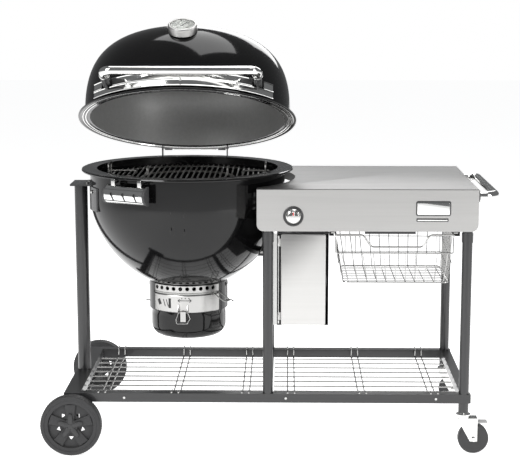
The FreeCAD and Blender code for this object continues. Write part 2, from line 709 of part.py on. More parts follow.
def dome_body():
    """The lid's whole outer form as a solid, for seating pieces on it."""
    points = dome_curve(0)
    foot = vec(0, 0, 0)
    edges = [curve(points), Part.makeLine(points[-1], foot), Part.makeLine(foot, points[0])]
    return Part.Face(Part.Wire(Part.__sortEdges__(edges))).revolve(foot, Z, 360)


def on_dome(shape, r, z, tilt):
    """Stands a piece, drawn about +Z, on the dome at the front (tilt > 0) or back."""
    shape = shape.copy()
    shape.rotate(vec(0, 0, 0), X, tilt)
    shape.translate(vec(0, -r if tilt > 0 else r, z))
    return shape


def at_origin(outline):
    return turned(outline, 0, 0)


def thermometer():
    z = 220.0
    r = dome_radius(z)
    def place(shape):
        return lid_place(on_dome(shape, r, z, DIAL_TILT))
    body = at_origin([(0, 0.3), (45.5, 0.3), (45.5, -2), (48.5, -2), (48.5, 20), (45, 23), (41, 23), (41, 17),
                      (0, 17)])
    dial = at_origin([(0, 17), (40.8, 17), (40.8, 18), (0, 18)])
    glass = at_origin([(0, 20.6), (40.8, 20.6), (40.8, 22), (0, 22)])
    stem = Part.makeCylinder(4, 62, vec(0, 0, -61.8))
    post = Part.makeCylinder(2.5, 0.8, vec(0, 0, 18.2))
    hand = box((-1.2, 1.2), (-8, 32), (18.3, 19.0))
    needle = fuse([post, hand]).rotate(vec(0, 0, 0), Z, -32)
    made = {"thermometer_case": place(body), "thermometer_dial": place(dial)}
    made["thermometer_glass"] = place(glass)
    made["thermometer_needle"] = place(needle)
    made["thermometer_stem"] = place(stem)
    return made


def vent_place(shape, fitted=False):
    z = 275.0
    shape = on_dome(shape, dome_radius(z), z, VENT_TILT)
    return lid_place(shape.cut(dome_body()) if fitted else shape)


def lid_vent():
    """Vent on the crown's back: a low wall, a turning damper and a cap that lifts."""
    seat = at_origin([(36, -8), (44, -8), (44, 1.5), (40, 1.5), (40, 12), (36, 12)])
    floor = at_origin([(3.05, 0), (36, 0), (36, 1.2), (3.05, 1.2)])
    plate = at_origin([(0, 2), (34, 2), (34, 3.2), (0, 3.2)])
    for i in range(4):
        hole = Part.makeCylinder(10, 8, vec(20, 0, -1)).rotate(vec(0, 0, 0), Z, 90 * i + 45)
        plate = plate.cut(hole)
        floor = floor.cut(hole)
    hub = Part.makeCylinder(3, 6, vec(0, 0, 2))
    cap = at_origin([(0, 15), (42, 15), (44, 12.6), (46, 12.6), (44, 18), (34, 22), (0, 24)])
    ear = box((-9, 9), (43, 54), (12.6, 17))
    knob = at_origin([(0, 23), (6, 23), (6, 30), (9, 33), (9, 38), (0, 40)])
    pin = rod(vec(-11, 52, 11), vec(11, 52, 11), 2)
    lug = box((-8.8, 8.8), (40, 56), (-1, 7)).cut(Part.makeCylinder(44, 40, vec(0, 0, -20)))
    knuckle = rod(vec(-8.8, 52, 11), vec(8.8, 52, 11), 4)
    arm = fuse([cap, ear.cut(rod(vec(-12, 52, 11), vec(12, 52, 11), 4.4)), knob])
    hinge = fuse([lug, knuckle]).cut(rod(vec(-12, 52, 11), vec(12, 52, 11), 2 + CLEAR))
    made = {"lid_vent_seat": vent_place(fuse([seat, floor, hinge]), True)}
    made["lid_vent_damper"] = vent_place(fuse([plate, hub]))
    tines = [box((s * 10 - 1, s * 10 + 1), (47, 55), (9, 17)) for s in (-1, 1)]
    made["lid_vent_cap"] = vent_place(fuse([arm, pin] + tines))
    return made


def lid_handle():
    """Bright tube bent inwards at both ends, on two brackets, in front of a curved heat shield."""
    y = -LID_R - LID_HANDLE_OUT
    z = LID_HANDLE_Z
    turn_in = y + 46
    path = [vec(-LID_HANDLE_X, turn_in, z), vec(-LID_HANDLE_X, y, z)]
    path += [vec(LID_HANDLE_X, y, z), vec(LID_HANDLE_X, turn_in, z)]
    solid_bar = bent(path, LID_HANDLE_R, 26)
    bar = solid_bar.cut(bent(path, LID_HANDLE_R - TUBE_WALL, 26))
    plugs = []
    for x in (-LID_HANDLE_X, LID_HANDLE_X):
        plug = rod(vec(x, turn_in, z), vec(x, turn_in + 12, z), LID_HANDLE_R + 1.5)
        foot = rod(vec(x, turn_in + 12, z), vec(x, -200, z), LID_HANDLE_R - 3)
        plugs.append(fuse([plug, foot]).cut(dome_body()))
    skin = Part.makeCylinder(LID_R + 13, SHIELD_Z[1] - SHIELD_Z[0], vec(0, 0, SHIELD_Z[0]))
    skin = skin.cut(Part.makeCylinder(LID_R + 11.5, 90, vec(0, 0, 0)))
    window = box((-SHIELD_X, SHIELD_X), (-LID_R - 40, -100), (0, 80))
    for x in (-LID_HANDLE_X, LID_HANDLE_X):
        window = window.cut(box((x - 18, x + 18), (-LID_R - 40, -100), (z - LID_HANDLE_R - 3, 90)))
    shield = skin.common(window)
    tie = rod(vec(0, -LID_R - 16, 30), vec(0, -LID_R - 1, 30), 4)
    posts = [tie]
    for x in (-180, 180):
        near = vec(x, -chord(x, LID_R) - 1.5, 30)
        posts.append(rod(vec(x, -chord(x, LID_R) - 14, 30), near, 4))
    made = {"lid_handle_bar": lid_place(bar), "lid_handle_brackets": lid_place(group(plugs))}
    made["lid_heat_shield"] = lid_place(shield.cut(group(posts)))
    made["heat_shield_screws"] = lid_place(group(posts))
    return made


def lid_skins():
    shell = dome_skin(0, 1.2)
    liner = dome_skin(LID_GAP, 1.0)
    z = 220.0
    drill = on_dome(Part.makeCylinder(4.3, 100, vec(0, 0, -80)), dome_radius(z), z, DIAL_TILT)
    vent = on_dome(Part.makeCylinder(35.5, 80, vec(0, 0, -50)), dome_radius(275), 275.0, VENT_TILT)
    ring_in = LID_R - LID_GAP - 1.0
    band = at_origin([(ring_in, -2), (LID_RIM_R - 4, -2), (LID_RIM_R - 4, 0), (ring_in, 0)])
    lip = Part.makeTorus(LID_RIM_R - 4, 4, vec(0, 0, -2))
    made = {"lid_shell": lid_place(shell.cut(drill).cut(vent))}
    made["lid_liner"] = lid_place(liner.cut(drill).cut(vent))
    made["lid_rim"] = lid_place(fuse([band, lip]))
    return made


def lid_hinge():
    """Lid plate with two knuckles; bowl brackets; pin; and two lift springs on the pin."""
    py = HINGE_Y - KETTLE_Y
    pz = HINGE_Z - LID_Z
    hole = rod(vec(-150, py, pz), vec(150, py, pz), HINGE_PIN_R + CLEAR)
    lid_side = Part.makeCylinder(LID_R + 0.6, 300, vec(0, 0, -50))
    shelf = box((-118, 118), (300, py - 3), (pz - 2, pz + 2)).cut(lid_side)
    shelf = shelf.cut(box((-85, 85), (py - 10, py + 10), (pz - 5, pz + 5)))
    wall = Part.makeCylinder(LID_R + 3.6, 34, vec(0, 0, pz - 2)).cut(lid_side)
    wall = wall.common(box((-118, 118), (200, 400), (pz - 2, pz + 40)))
    knuckles = [rod(vec(s - 14, py, pz), vec(s + 14, py, pz), 8) for s in (-100, 100)]
    plate = fuse([shelf, wall] + knuckles).cut(hole)
    rivets = []
    for x in (-96, -48, 48, 96):
        r = LID_R + 3.4
        y = chord(x, r)
        rivets.append(rod(vec(x, y, pz + 20), vec(x * (r + 4) / r, y * (r + 4) / r, pz + 20), 5))
    pin = rod(vec(KETTLE_X - 126, HINGE_Y, HINGE_Z), vec(KETTLE_X + 126, HINGE_Y, HINGE_Z), HINGE_PIN_R)
    arms = []
    for s in (-1, 1):
        x = KETTLE_X + s * 121
        arm = box((x - 2, x + 2), (HINGE_Y - 110, HINGE_Y + 10), (820, HINGE_Z + 10))
        notch = box((x - 5, x + 5), (HINGE_Y - 200, HINGE_Y - 34), (RIM_Z - 14, HINGE_Z + 20))
        toe = box((x - 5, x + 5), (HINGE_Y - 28, HINGE_Y + 20), (800, 880))
        arm = arm.cut(notch).cut(toe).cut(disc(BOWL_R, 800, 200))
        arms.append(arm.cut(rod(vec(x - 10, HINGE_Y, HINGE_Z), vec(x + 10, HINGE_Y, HINGE_Z), HINGE_PIN_R)))
    foot = disc(BOWL_R + 3, 830, 60).cut(disc(BOWL_R, 820, 80))
    foot = foot.common(box((KETTLE_X - 119, KETTLE_X + 119), (400, 700), (830, 890)))
    springs = []
    for s in (-1, 1):
        a = vec(KETTLE_X + s * 20, HINGE_Y, HINGE_Z)
        b = vec(KETTLE_X + s * 80, HINGE_Y, HINGE_Z)
        springs.append(tube(a, b, 7, 7 - HINGE_PIN_R - 0.5))
    made = {"lid_hinge_plate": lid_place(plate), "lid_hinge_rivets": lid_place(group(rivets))}
    made["hinge_pin"] = pin
    made["bowl_hinge_bracket"] = fuse([foot] + arms)
    made["lid_springs"] = group(springs)
    return made


# ---------------------------------------------------------------- table

def rounded_panel(inset, ys):
    """Front panel's outline, square at the top and rounded at its two lower corners."""
    x0 = TABLE_X[0] + inset
    x1 = TABLE_X[1] - inset
    low = PANEL_BOTTOM + inset
    r = 22.0 - inset
    k = r * (1 - math.sqrt(0.5))
    y = ys[0]
    top = TABLE_TOP - 2 + (10 if inset else 0)
    edges = [Part.makeLine(vec(x0, y, top), vec(x0, y, low + r)),
             Part.Arc(vec(x0, y, low + r), vec(x0 + k, y, low + k), vec(x0 + r, y, low)).toShape(),
             Part.makeLine(vec(x0 + r, y, low), vec(x1 - r, y, low)),
             Part.Arc(vec(x1 - r, y, low), vec(x1 - k, y, low + k), vec(x1, y, low + r)).toShape(),
             Part.makeLine(vec(x1, y, low + r), vec(x1, y, top)),
             Part.makeLine(vec(x1, y, top), vec(x0, y, top))]
    return Part.Face(Part.Wire(edges)).extrude(Y * (ys[1] - ys[0]))


def table():
    y0, y1 = TABLE_Y
    cut = disc(RIM_R + 7, 500, 500)
    top = box(TABLE_X, TABLE_Y, (TABLE_TOP - 2, TABLE_TOP))
    skirt = box(TABLE_X, (y0 + 60, y1), (TABLE_TOP - 50, TABLE_TOP - 2))
    inside = (TABLE_X[0] + SHEET, TABLE_X[1] - SHEET)
    hollow = box(inside, (y0, y1 - SHEET), (TABLE_TOP - 60, TABLE_TOP - 2))
    skirt = skirt.cut(hollow)
    edge = disc(RIM_R + 7 + SHEET, TABLE_TOP - 30, 28).cut(cut)
    edge = edge.common(box((TABLE_X[0] + SHEET, 120), (y0 + 40, y1 - SHEET), (0, TABLE_TOP)))
    for x in (0, RIGHT_X):
        skirt = skirt.cut(disc(LEG_R, 700, TABLE_TOP - 702, x, FRAME_DEPTH))
    made = {"table_top": fuse([top, skirt, edge]).cut(cut)}
    panel = rounded_panel(0, (y0, y0 + 50)).cut(rounded_panel(SHEET, (y0 + SHEET, y0 + 60)))
    hole = rod(vec(KNOB[0], y0 - 10, KNOB[1]), vec(KNOB[0], y0 + 10, KNOB[1]), 9)
    for x in (0, RIGHT_X):
        panel = panel.cut(disc(LEG_R, 700, 300, x, 0))
    made["front_panel"] = panel.cut(hole).cut(cut)
    channels = []
    for x in (150, 420, 560):
        outer = box((x, x + 40), (y0 + 62, y1 - 3), (TABLE_TOP - 24, TABLE_TOP - 2))
        channels.append(outer.cut(box((x + 2, x + 38), (0, 700), (TABLE_TOP - 30, TABLE_TOP - 4))))
    made["table_channels"] = group(channels)
    plate = box((482, 596), (y0 - 1.5, y0), (806, 855)).fuse(box((484, 588), (y0 - 1.0, y0), (787, 798)))
    made["blank_badges"] = group(plate.Solids)
    made["panel_lip"] = box((317, 483), (y0 + 6, y0 + 14), (745, PANEL_BOTTOM))
    return made


def knob():
    x, z = KNOB
    y = TABLE_Y[0]
    bezel = rod(vec(x, y, z), vec(x, y - 3, z), 29).cut(rod(vec(x, y, z), vec(x, y - 3, z), 9))
    grip = rod(vec(x, y - 9, z), vec(x, y - 30, z), 20)
    skirt = rod(vec(x, y - 9, z), vec(x, y - 15, z), 24)
    body = fuse([grip, skirt])
    mark = rod(vec(x, y - 30, z), vec(x, y - 30.8, z), 6)
    stem = rod(vec(x, y + 27, z), vec(x, y - 9, z), 5)
    made = {"knob_bezel": bezel, "gas_knob": body, "knob_mark": mark, "valve_stem": stem}
    made["gas_valve"] = box((x - 18, x + 18), (y + 30.5, y + 66), (z - 22, z + 22))
    return made


def side_handle():
    y0, y1 = HANDLE_Y
    x = TABLE_X[1]
    bar = bent([vec(x + 8, y0, HANDLE_Z), vec(HANDLE_X, y0, HANDLE_Z), vec(HANDLE_X, y1, HANDLE_Z),
                vec(x + 8, y1, HANDLE_Z)], HANDLE_R, 38)
    ends = [rod(vec(x, y, HANDLE_Z), vec(x + 8, y, HANDLE_Z), HANDLE_R + 5) for y in HANDLE_Y]
    return {"side_handle": bar, "side_handle_ends": group(ends)}


# ---------------------------------------------------------------- cylinder box and basket

def cylinder_box():
    xs, ys, zs = BOX_X, BOX_Y, BOX_Z
    shell = box(xs, ys, zs)
    hollow = box((xs[0] + SHEET, xs[1] - SHEET), (ys[0] - 1, ys[1] - SHEET), (zs[0] + SHEET, zs[1] - SHEET))
    body = shell.cut(hollow)
    seat = disc(58, zs[0] + SHEET, 12, sum(xs) / 2 + 4, sum(ys) / 2)
    seat = seat.cut(disc(55, zs[0], 30, sum(xs) / 2 + 4, sum(ys) / 2))
    strap = box((LEG_R - 8, BOX_X[0]), (8, 11), (zs[0], zs[1] - 2))
    strap = strap.cut(disc(LEG_R, 300, 500, 0, 0)).cut(disc(COLLAR_R, 716, 30, 0, 0))
    door = box((39, 190), (-2, 4), (436, 741))
    door = door.cut(box((40.5, 188.5), (-0.5, 5), (437.5, 739.5)))
    knuckle = [rod(vec(35, 1, z), vec(35, 1, z + 26), 3.5) for z in (452, 700)]
    tabs = [box((35, 41), (0.2, 1.8), (z, z + 26)) for z in (452, 700)]
    pin_hole = rod(vec(35, 1, 430), vec(35, 1, 745), 1.55)
    door = fuse([door] + knuckle + tabs).cut(pin_hole)
    pin = rod(vec(35, 1, 441), vec(35, 1, 736), 1.5)
    feet = [fuse([disc(3.5, z, 9, 35, 1), box((31.5, 38), (1, 6), (z, z + 9))]) for z in (441, 727)]
    feet = [f.cut(pin) for f in feet]
    catch = box((186, 194), (4.6, 6), (570, 600))
    made = {"cylinder_box": fuse([body, seat]), "box_door": door, "box_strap": strap}
    made["door_hinge"] = group([pin] + feet)
    made["door_catch"] = catch
    return made


def wire_face(corners):
    """Flat side of the basket as a thin closed slab."""
    outline = [vec(*c) for c in corners]
    face = Part.Face(Part.makePolygon(outline + outline[:1]))
    normal = face.normalAt(0, 0)
    return face.extrude(normal * 3.0)


def basket():
    x0, x1 = BASKET_X
    f0, f1 = BASKET_FOOT_X
    y0, y1 = BASKET_Y
    low, mid, high = BASKET_Z
    inset = 12
    front = wire_face([(x0, y0, mid), (x1, y0, mid), (f1, y0 + inset, low + 4), (f0, y0 + inset, low + 4)])
    back = wire_face([(x1, y1, high), (x0, y1, high), (f0, y1 - inset, low + 4), (f1, y1 - inset, low + 4)])
    near = (y0 + 6, y0 + inset + 6)
    far = (y1 - 6, y1 - inset - 6)
    left = wire_face([(x0, far[0], high), (x0, near[0], high), (f0, near[1], low + 4), (f0, far[1], low + 4)])
    right = wire_face([(x1, near[0], high), (x1, far[0], high), (f1, far[1], low + 4), (f1, near[1], low + 4)])
    floor = box((f0, f1), (y0 + inset, y1 - inset), (low, low + 3))
    dip = (BASKET_X[0] + 89, BASKET_X[0] + 116, 508, 533)
    hanger = bent([vec(x0, y0, high), vec(dip[0], y0, high), vec(dip[1], y0, 697), vec(dip[2], y0, 697),
                   vec(dip[3], y0, high), vec(x1, y0, high)], 3, 12)
    posts = []
    for x in (x0 + 30, x0 + 64, x1 - 45, x1 - 12):
        posts.append(rod(vec(x, y0, mid + 4), vec(x, y0, high - 3.2), 1.5))
    return {"basket": group([front, back, left, right, floor]), "basket_hanger": group([hanger] + posts)}


def basket_rails():
    """Two slides under the table that the basket's top frame runs on."""
    made = []
    for x0, x1 in ((BASKET_X[0] - 22, BASKET_X[0] - 6), (BASKET_X[1] + 6, BASKET_X[1] + 22)):
        inner = x1 if x0 < 400 else x0
        side = box((x0, x1), (24, 340), (732, 752))
        span = (x0 + 2, x1 + 1) if inner == x1 else (x0 - 1, x1 - 2)
        channel = box(span, (0, 400), (734, 750))
        made.append(side.cut(channel))
        mast = (x0, x0 + 2) if inner == x1 else (x1 - 2, x1)
        made.append(box(mast, (60, 80), (752, TABLE_TOP - 2)))
        made.append(box(mast, (300, 320), (752, TABLE_TOP - 2)))
    return group(made)


def basket_runners():
    """Flat runners on the basket's sides, inside the slides."""
    runners = []
    for s, x in ((-1, BASKET_X[0]), (1, BASKET_X[1])):
        runners.append(box((x - 17, x - 3) if s < 0 else (x + 3, x + 17), (30, 310), (738, 744)))
        for y in (40, 290):
            runners.append(box((x - 3, x) if s < 0 else (x, x + 3), (y, y + 12), (700, 744)))
    return group(runners)


# ---------------------------------------------------------------- racks

def rack(x0, x1, pairs):
    """Wire rack slung between the rails: cross wires hooked over both rails, long wires laid on them."""
    low = RAIL_TOP - RACK_DROP
    top = RAIL_TOP + WIRE_R
    inner = RAIL_W / 2 + 4
    wires = []
    for i in range(RACK_ROWS):
        y = RACK_FIRST_Y + i * RACK_PITCH
        wires.append(rod(vec(x0, y, low + 2 * WIRE_R), vec(x1, y, low + 2 * WIRE_R), WIRE_R))
    for middle in pairs:
        for x in (middle - PAIR_HALF, middle + PAIR_HALF):
            path = [vec(x, 2 - RAIL_W / 2, top), vec(x, inner, top), vec(x, inner, low)]
            path += [vec(x, FRAME_DEPTH - inner, low), vec(x, FRAME_DEPTH - inner, top)]
            path += [vec(x, FRAME_DEPTH + RAIL_W / 2 - 2, top)]
            wires.append(bent(path, WIRE_R, 4))
    return group(wires)


def racks():
    return {"left_rack": rack(LEFT_RAIL[1] + 4, -19, (-555, -310, -75)),
            "right_rack": rack(19, RIGHT_X - RAIL_W / 2 - 2, (78, 317, 555))}


# ---------------------------------------------------------------- the whole grill

# Pieces of one finish that are fastened together share a file, each as its own solid.
SHARED = {
    "legs": ("front_middle_leg", "back_middle_leg", "front_right_leg", "back_right_leg", "leg_collars"),
    "base_rails": ("front_rail", "back_rail", "left_rail", "right_rail", "middle_rail", "rail_plugs",
                   "caster_sockets"),
    "axle": ("axle_bar", "axle_brackets"),
    "front_wheel": ("front_wheel", "front_hub_cap"),
    "back_wheel": ("back_wheel", "back_hub_cap"),
    "front_caster_fork": ("front_caster_fork", "front_caster_bolt"),
    "back_caster_fork": ("back_caster_fork", "back_caster_bolt"),
    "vent_collar": ("vent_collar", "sweeper_bearing"),
    "neck_bands": ("vent_face_band", "ash_face_band", "latch_hooks"),
    "ash_sweeper": ("ash_sweeper", "sweeper_lever"),
    "kettle_brackets": ("kettle_left_bracket", "kettle_cross_bar", "kettle_right_bracket"),
    "hook_handle_plate": ("hook_handle_plate", "hook_handle_straps"),
    "bowl_liner": ("bowl_liner", "grate_tabs"),
    "igniter_line": ("burner_tube", "gas_valve"),
    "lid_handle": ("lid_handle_bar", "lid_handle_brackets"),
    "lid_heat_shield": ("lid_heat_shield", "heat_shield_screws"),
    "thermometer_case": ("thermometer_case", "thermometer_stem"),
    "lid_hinge_plate": ("lid_hinge_plate", "lid_hinge_rivets"),
    "hinge_pin": ("hinge_pin", "lid_springs"),
    "front_panel": ("front_panel", "blank_badges"),
    "table_supports": ("table_channels", "panel_lip"),
    "gas_knob": ("gas_knob", "knob_mark"),
    "side_handle": ("side_handle", "side_handle_ends"),
    "cylinder_box": ("cylinder_box", "door_catch"),
    "box_hinge": ("box_strap", "door_hinge"),
    "basket_hanger": ("basket_hanger", "basket_runners"),
}


def share(nodes):
    for name, members in SHARED.items():
        nodes[name] = group([solid for member in members for solid in nodes.pop(member).Solids])


def build():
    nodes = {}
    nodes.update(legs())
    nodes["leg_collars"] = leg_collars()
    nodes.update(rails())
    nodes["rail_plugs"] = rail_plugs()
    nodes["axle_bar"] = axle()
    nodes["axle_brackets"] = axle_brackets()
    nodes["caster_sockets"] = caster_sockets()
    for name, y, outward in (("front", FRONT_WHEEL_Y, -1), ("back", BACK_WHEEL_Y, 1)):
        nodes[name + "_wheel"] = fuse([big_wheel(y, outward), big_tread(y)])
        nodes[name + "_hub_cap"] = hub_cap(y, outward)
    for name, y in (("front", 0), ("back", FRAME_DEPTH)):
        fork, wheel, bolt, pedal = caster(y)
        nodes[name + "_caster_fork"] = fork
        nodes[name + "_caster_wheel"] = wheel
        nodes[name + "_caster_bolt"] = bolt
        nodes[name + "_caster_brake"] = pedal
    nodes.update(bowl())
    nodes.update(neck())
    nodes["ash_sweeper"] = sweeper()
    nodes["sweeper_bearing"] = sweeper_bearing()
    nodes["sweeper_lever"] = sweeper_lever()
    nodes["ash_pot"] = ash_pot()
    nodes["pot_latch"] = pot_latch()
    nodes["latch_hooks"] = latch_hooks()
    left, bar, right = kettle_brackets()
    nodes["kettle_left_bracket"] = left
    nodes["kettle_cross_bar"] = bar
    nodes["kettle_right_bracket"] = right
    nodes["frame_bolts"] = frame_bolts()
    nodes.update(tool_handle())
    nodes["cooking_grate"] = cooking_grate()
    nodes["left_grate_flap"] = grate_flap(-1)
    nodes["right_grate_flap"] = grate_flap(1)
    nodes["grate_insert"] = grate_insert()
    nodes["charcoal_grate"] = charcoal_grate()
    nodes["grate_tabs"] = grate_tabs()
    nodes["burner_tube"] = burner_tube()
    nodes.update(lid_skins())
    nodes.update(lid_handle())
    nodes.update(thermometer())
    nodes.update(lid_vent())
    nodes.update(lid_hinge())
    nodes.update(table())
    nodes.update(knob())
    nodes.update(side_handle())
    nodes.update(cylinder_box())
    nodes.update(basket())
    nodes["basket_rails"] = basket_rails()
    nodes["basket_runners"] = basket_runners()
    nodes.update(racks())
    share(nodes)
    return nodes


def main():
    nodes = build()
    boxes = [shape.optimalBoundingBox(False, False) for shape in nodes.values()]
    middle_x = (min(b.XMin for b in boxes) + max(b.XMax for b in boxes)) / 2
    middle_y = (min(b.YMin for b in boxes) + max(b.YMax for b in boxes)) / 2
    os.makedirs("parts", exist_ok=True)
    for name, shape in nodes.items():
        shape = shape.copy()
        shape.translate(vec(-middle_x, -middle_y, 0))
        shape.exportStep(os.path.join("parts", name + ".step"))
        print(name, "solids", len(shape.Solids), "valid", shape.isValid(), "volume", round(shape.Volume))
    print("nodes", len(nodes), "origin", middle_x, middle_y, "floor", min(b.ZMin for b in boxes))


main()
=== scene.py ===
import json
import math

import bpy
from mathutils import Matrix, Vector


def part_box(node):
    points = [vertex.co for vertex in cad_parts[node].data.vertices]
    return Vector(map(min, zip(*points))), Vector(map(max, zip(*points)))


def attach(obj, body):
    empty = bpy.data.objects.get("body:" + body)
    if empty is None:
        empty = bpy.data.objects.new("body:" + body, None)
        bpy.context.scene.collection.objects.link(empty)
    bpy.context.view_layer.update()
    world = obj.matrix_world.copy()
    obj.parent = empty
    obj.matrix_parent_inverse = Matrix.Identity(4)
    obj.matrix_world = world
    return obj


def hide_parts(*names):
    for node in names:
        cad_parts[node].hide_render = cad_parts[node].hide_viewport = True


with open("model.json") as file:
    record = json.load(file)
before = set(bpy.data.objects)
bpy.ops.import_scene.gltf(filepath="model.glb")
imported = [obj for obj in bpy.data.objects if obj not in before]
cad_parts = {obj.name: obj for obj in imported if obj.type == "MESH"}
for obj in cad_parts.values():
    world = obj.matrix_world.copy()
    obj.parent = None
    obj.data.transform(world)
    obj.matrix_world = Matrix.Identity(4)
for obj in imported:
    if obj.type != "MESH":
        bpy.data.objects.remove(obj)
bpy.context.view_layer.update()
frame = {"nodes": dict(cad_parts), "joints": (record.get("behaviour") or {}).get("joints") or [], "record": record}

# Looks of the kettle grill and its cart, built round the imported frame.
# Pieces are drawn in millimetres and carried into the frame, in metres, as they are finished.

MM = 1000.0


def span(node):
    """A CAD node's lowest and highest corners, in millimetres."""
    low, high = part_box(node)
    return low * MM, high * MM


def middle(node):
    low, high = span(node)
    return (low + high) / 2


def joint(name):
    return next(j for j in frame["joints"] if j["name"] == name)


# ------------------------------------------------------------ places read from the frame

LEG_COLLAR_R = 19.0
LEGS_LOW, LEGS_HIGH = span("legs")
LEG_X = (LEGS_LOW.x + LEG_COLLAR_R, LEGS_HIGH.x - LEG_COLLAR_R)
LEG_Y = (LEGS_LOW.y + LEG_COLLAR_R, LEGS_HIGH.y - LEG_COLLAR_R)
RIM_LOW, RIM_HIGH = span("bowl_rim")
RIM_R = (RIM_HIGH.x - RIM_LOW.x) / 2
RIM_Z = RIM_HIGH.z
KETTLE = Matrix.Translation(((RIM_LOW.x + RIM_HIGH.x) / 2, (RIM_LOW.y + RIM_HIGH.y) / 2, 0))
BOWL_LOW, BOWL_HIGH = span("bowl_shell")
BOWL_R = (BOWL_HIGH.x - BOWL_LOW.x) / 2
BOWL_TOP = BOWL_HIGH.z
HIPS_Z = RIM_Z - 104           # where the bowl's straight wall ends
BOWL_DEPTH = 327.0
BOWL_POWER = 1.8
NECK_R = 138.0
SKIN = 1.6                     # sheet of the kettle's two skins
LINING_INSET = 22              # from the kettle's outer skin to its inner one
HINGE = Vector(joint("lid_hinge")["pos_m"]) * MM
LID_OPEN = math.radians(-joint("lid_hinge")["range_deg"][0])
LID_Z = RIM_Z + 5              # rim plane of the closed lid
LID_R = 356.5
LID_HEIGHT = 355.0
LID_SINK = 67.0
LID_POWERS = (3.09, 3.91)
LID_GAP = 18.0
LID_RIM_R = 377.0
LID_SKIN = 1.2
DIAL_Z = 220                   # thermometer's height above the lid's rim plane
SEAM = 0.001                   # vertices closer than this are one


def at(x, y, z):
    """A place measured from the foot of the front middle leg's axis."""
    return Vector((LEG_X[0] + x, LEG_Y[0] + y, z))


def lid_frame():
    """From the closed lid's own frame, about its rim's centre, to the lid as it stands open."""
    turn = Matrix.Rotation(-LID_OPEN, 4, "X")
    swing = Matrix.Translation(HINGE) @ turn @ Matrix.Translation(-HINGE)
    return swing @ KETTLE @ Matrix.Translation((0, 0, LID_Z))


LID = lid_frame()

# ------------------------------------------------------------ modelling by hand


def deselect():
    bpy.ops.object.select_all(action="DESELECT")


def edit():
    bpy.ops.object.mode_set(mode="EDIT")


def leave():
    bpy.ops.object.mode_set(mode="OBJECT")


def choose(*pieces):
    deselect()
    for piece in pieces:
        piece.select_set(True)
    bpy.context.view_layer.objects.active = pieces[0]
    return pieces[0]


def tidy_faces():
    """In edit mode: closes seams and poles, and turns every face outwards."""
    bpy.ops.mesh.select_all(action="SELECT")
    bpy.ops.mesh.remove_doubles(threshold=SEAM)
    bpy.ops.mesh.normals_make_consistent(inside=False)


def chain(points, closed=False):
    """A run of vertices joined by edges, drawn on from its first point."""
    points = [Vector(p) for p in points]
    deselect()
    bpy.ops.mesh.primitive_plane_add(size=1, location=points[0])
    bpy.context.tool_settings.mesh_select_mode = (True, False, False)
    edit()
    bpy.ops.mesh.merge(type="CENTER")
    stops = points[1:] + (points[:1] if closed else [])
    for here, there in zip(points, stops):
        bpy.ops.mesh.extrude_region_move(TRANSFORM_OT_translate={"value": there - here})
    if closed:
        bpy.ops.mesh.select_all(action="SELECT")
        bpy.ops.mesh.remove_doubles(threshold=SEAM)
    leave()
    bpy.ops.object.transform_apply(location=True, rotation=True, scale=True)
    return bpy.context.object


def placed(piece, matrix):
    choose(piece)
    piece.matrix_world = matrix @ piece.matrix_world
    bpy.ops.object.transform_apply(location=True, rotation=True, scale=True)
    return piece


def moved(piece, x, y, z):
    return placed(piece, Matrix.Translation((x, y, z)))


def twin(piece, matrix):
    """A copy with its own mesh, put somewhere else."""
    choose(piece)
    bpy.ops.object.duplicate(linked=False)
    return placed(bpy.context.object, matrix)


def joined(pieces):
    choose(*pieces)
    if len(pieces) > 1:
        bpy.ops.object.join()
    return bpy.context.object


def pick(piece, kind, test):
    """Enters edit mode with the edges or faces chosen that pass the test."""
    mesh = piece.data
    choose(piece)
    for group in (mesh.vertices, mesh.edges, mesh.polygons):
        group.foreach_set("select", [False] * len(group))
    bpy.context.tool_settings.mesh_select_mode = (False, kind == "edges", kind == "faces")
    for part in getattr(mesh, "polygons" if kind == "faces" else "edges"):
        if kind == "faces":
            part.select = test(part.center, part.normal)
        else:
            part.select = test(*[mesh.vertices[i].co for i in part.vertices])
    edit()


def rounded(width, segments):
    """In edit mode: rounds the chosen edges."""
    bpy.ops.mesh.bevel(offset=width, offset_type="OFFSET", segments=segments, affect="EDGES")


def applied(piece, kind, **settings):
    choose(piece)
    modifier = piece.modifiers.new(kind.lower(), kind)
    for name, value in settings.items():
        setattr(modifier, name, value)
    bpy.ops.object.modifier_apply(modifier=modifier.name)
    return piece


def softened(piece, width, segments=2, angle=40):
    return applied(piece, "BEVEL", width=width, segments=segments, limit_method="ANGLE",
                   angle_limit=math.radians(angle))


def cut_by(piece, cutters):
    """The piece with the cutters' shapes taken out of it."""
    for tool in cutters:
        applied(piece, "BOOLEAN", object=tool, operation="DIFFERENCE", solver="EXACT")
        bpy.data.objects.remove(tool)
    return piece


def turned(profile, steps=96, turn=360.0, closed=True, start=0.0):
    """A shape spun about the Z axis from (radius, height) points."""
    piece = chain([(r, 0, z) for r, z in profile], closed)
    edit()
    bpy.ops.mesh.select_all(action="SELECT")
    bpy.ops.mesh.spin(steps=steps, angle=math.radians(turn), center=(0, 0, 0), axis=(0, 0, -1))
    bpy.ops.mesh.select_all(action="SELECT")
    bpy.ops.mesh.remove_doubles(threshold=SEAM)
    if turn < 360:
        bpy.ops.mesh.fill_holes(sides=0)
    tidy_faces()
    leave()
    return placed(piece, Matrix.Rotation(math.radians(start), 4, "Z"))


def block(low, high, edge=1.0, segments=2):
    """A solid with every edge rounded."""
    low, high = Vector(low), Vector(high)
    deselect()
    bpy.ops.mesh.primitive_cube_add(size=1, location=(low + high) / 2, scale=high - low)
    bpy.ops.object.transform_apply(location=True, rotation=True, scale=True)
    edit()
    rounded(edge, segments)
    leave()
    return bpy.context.object


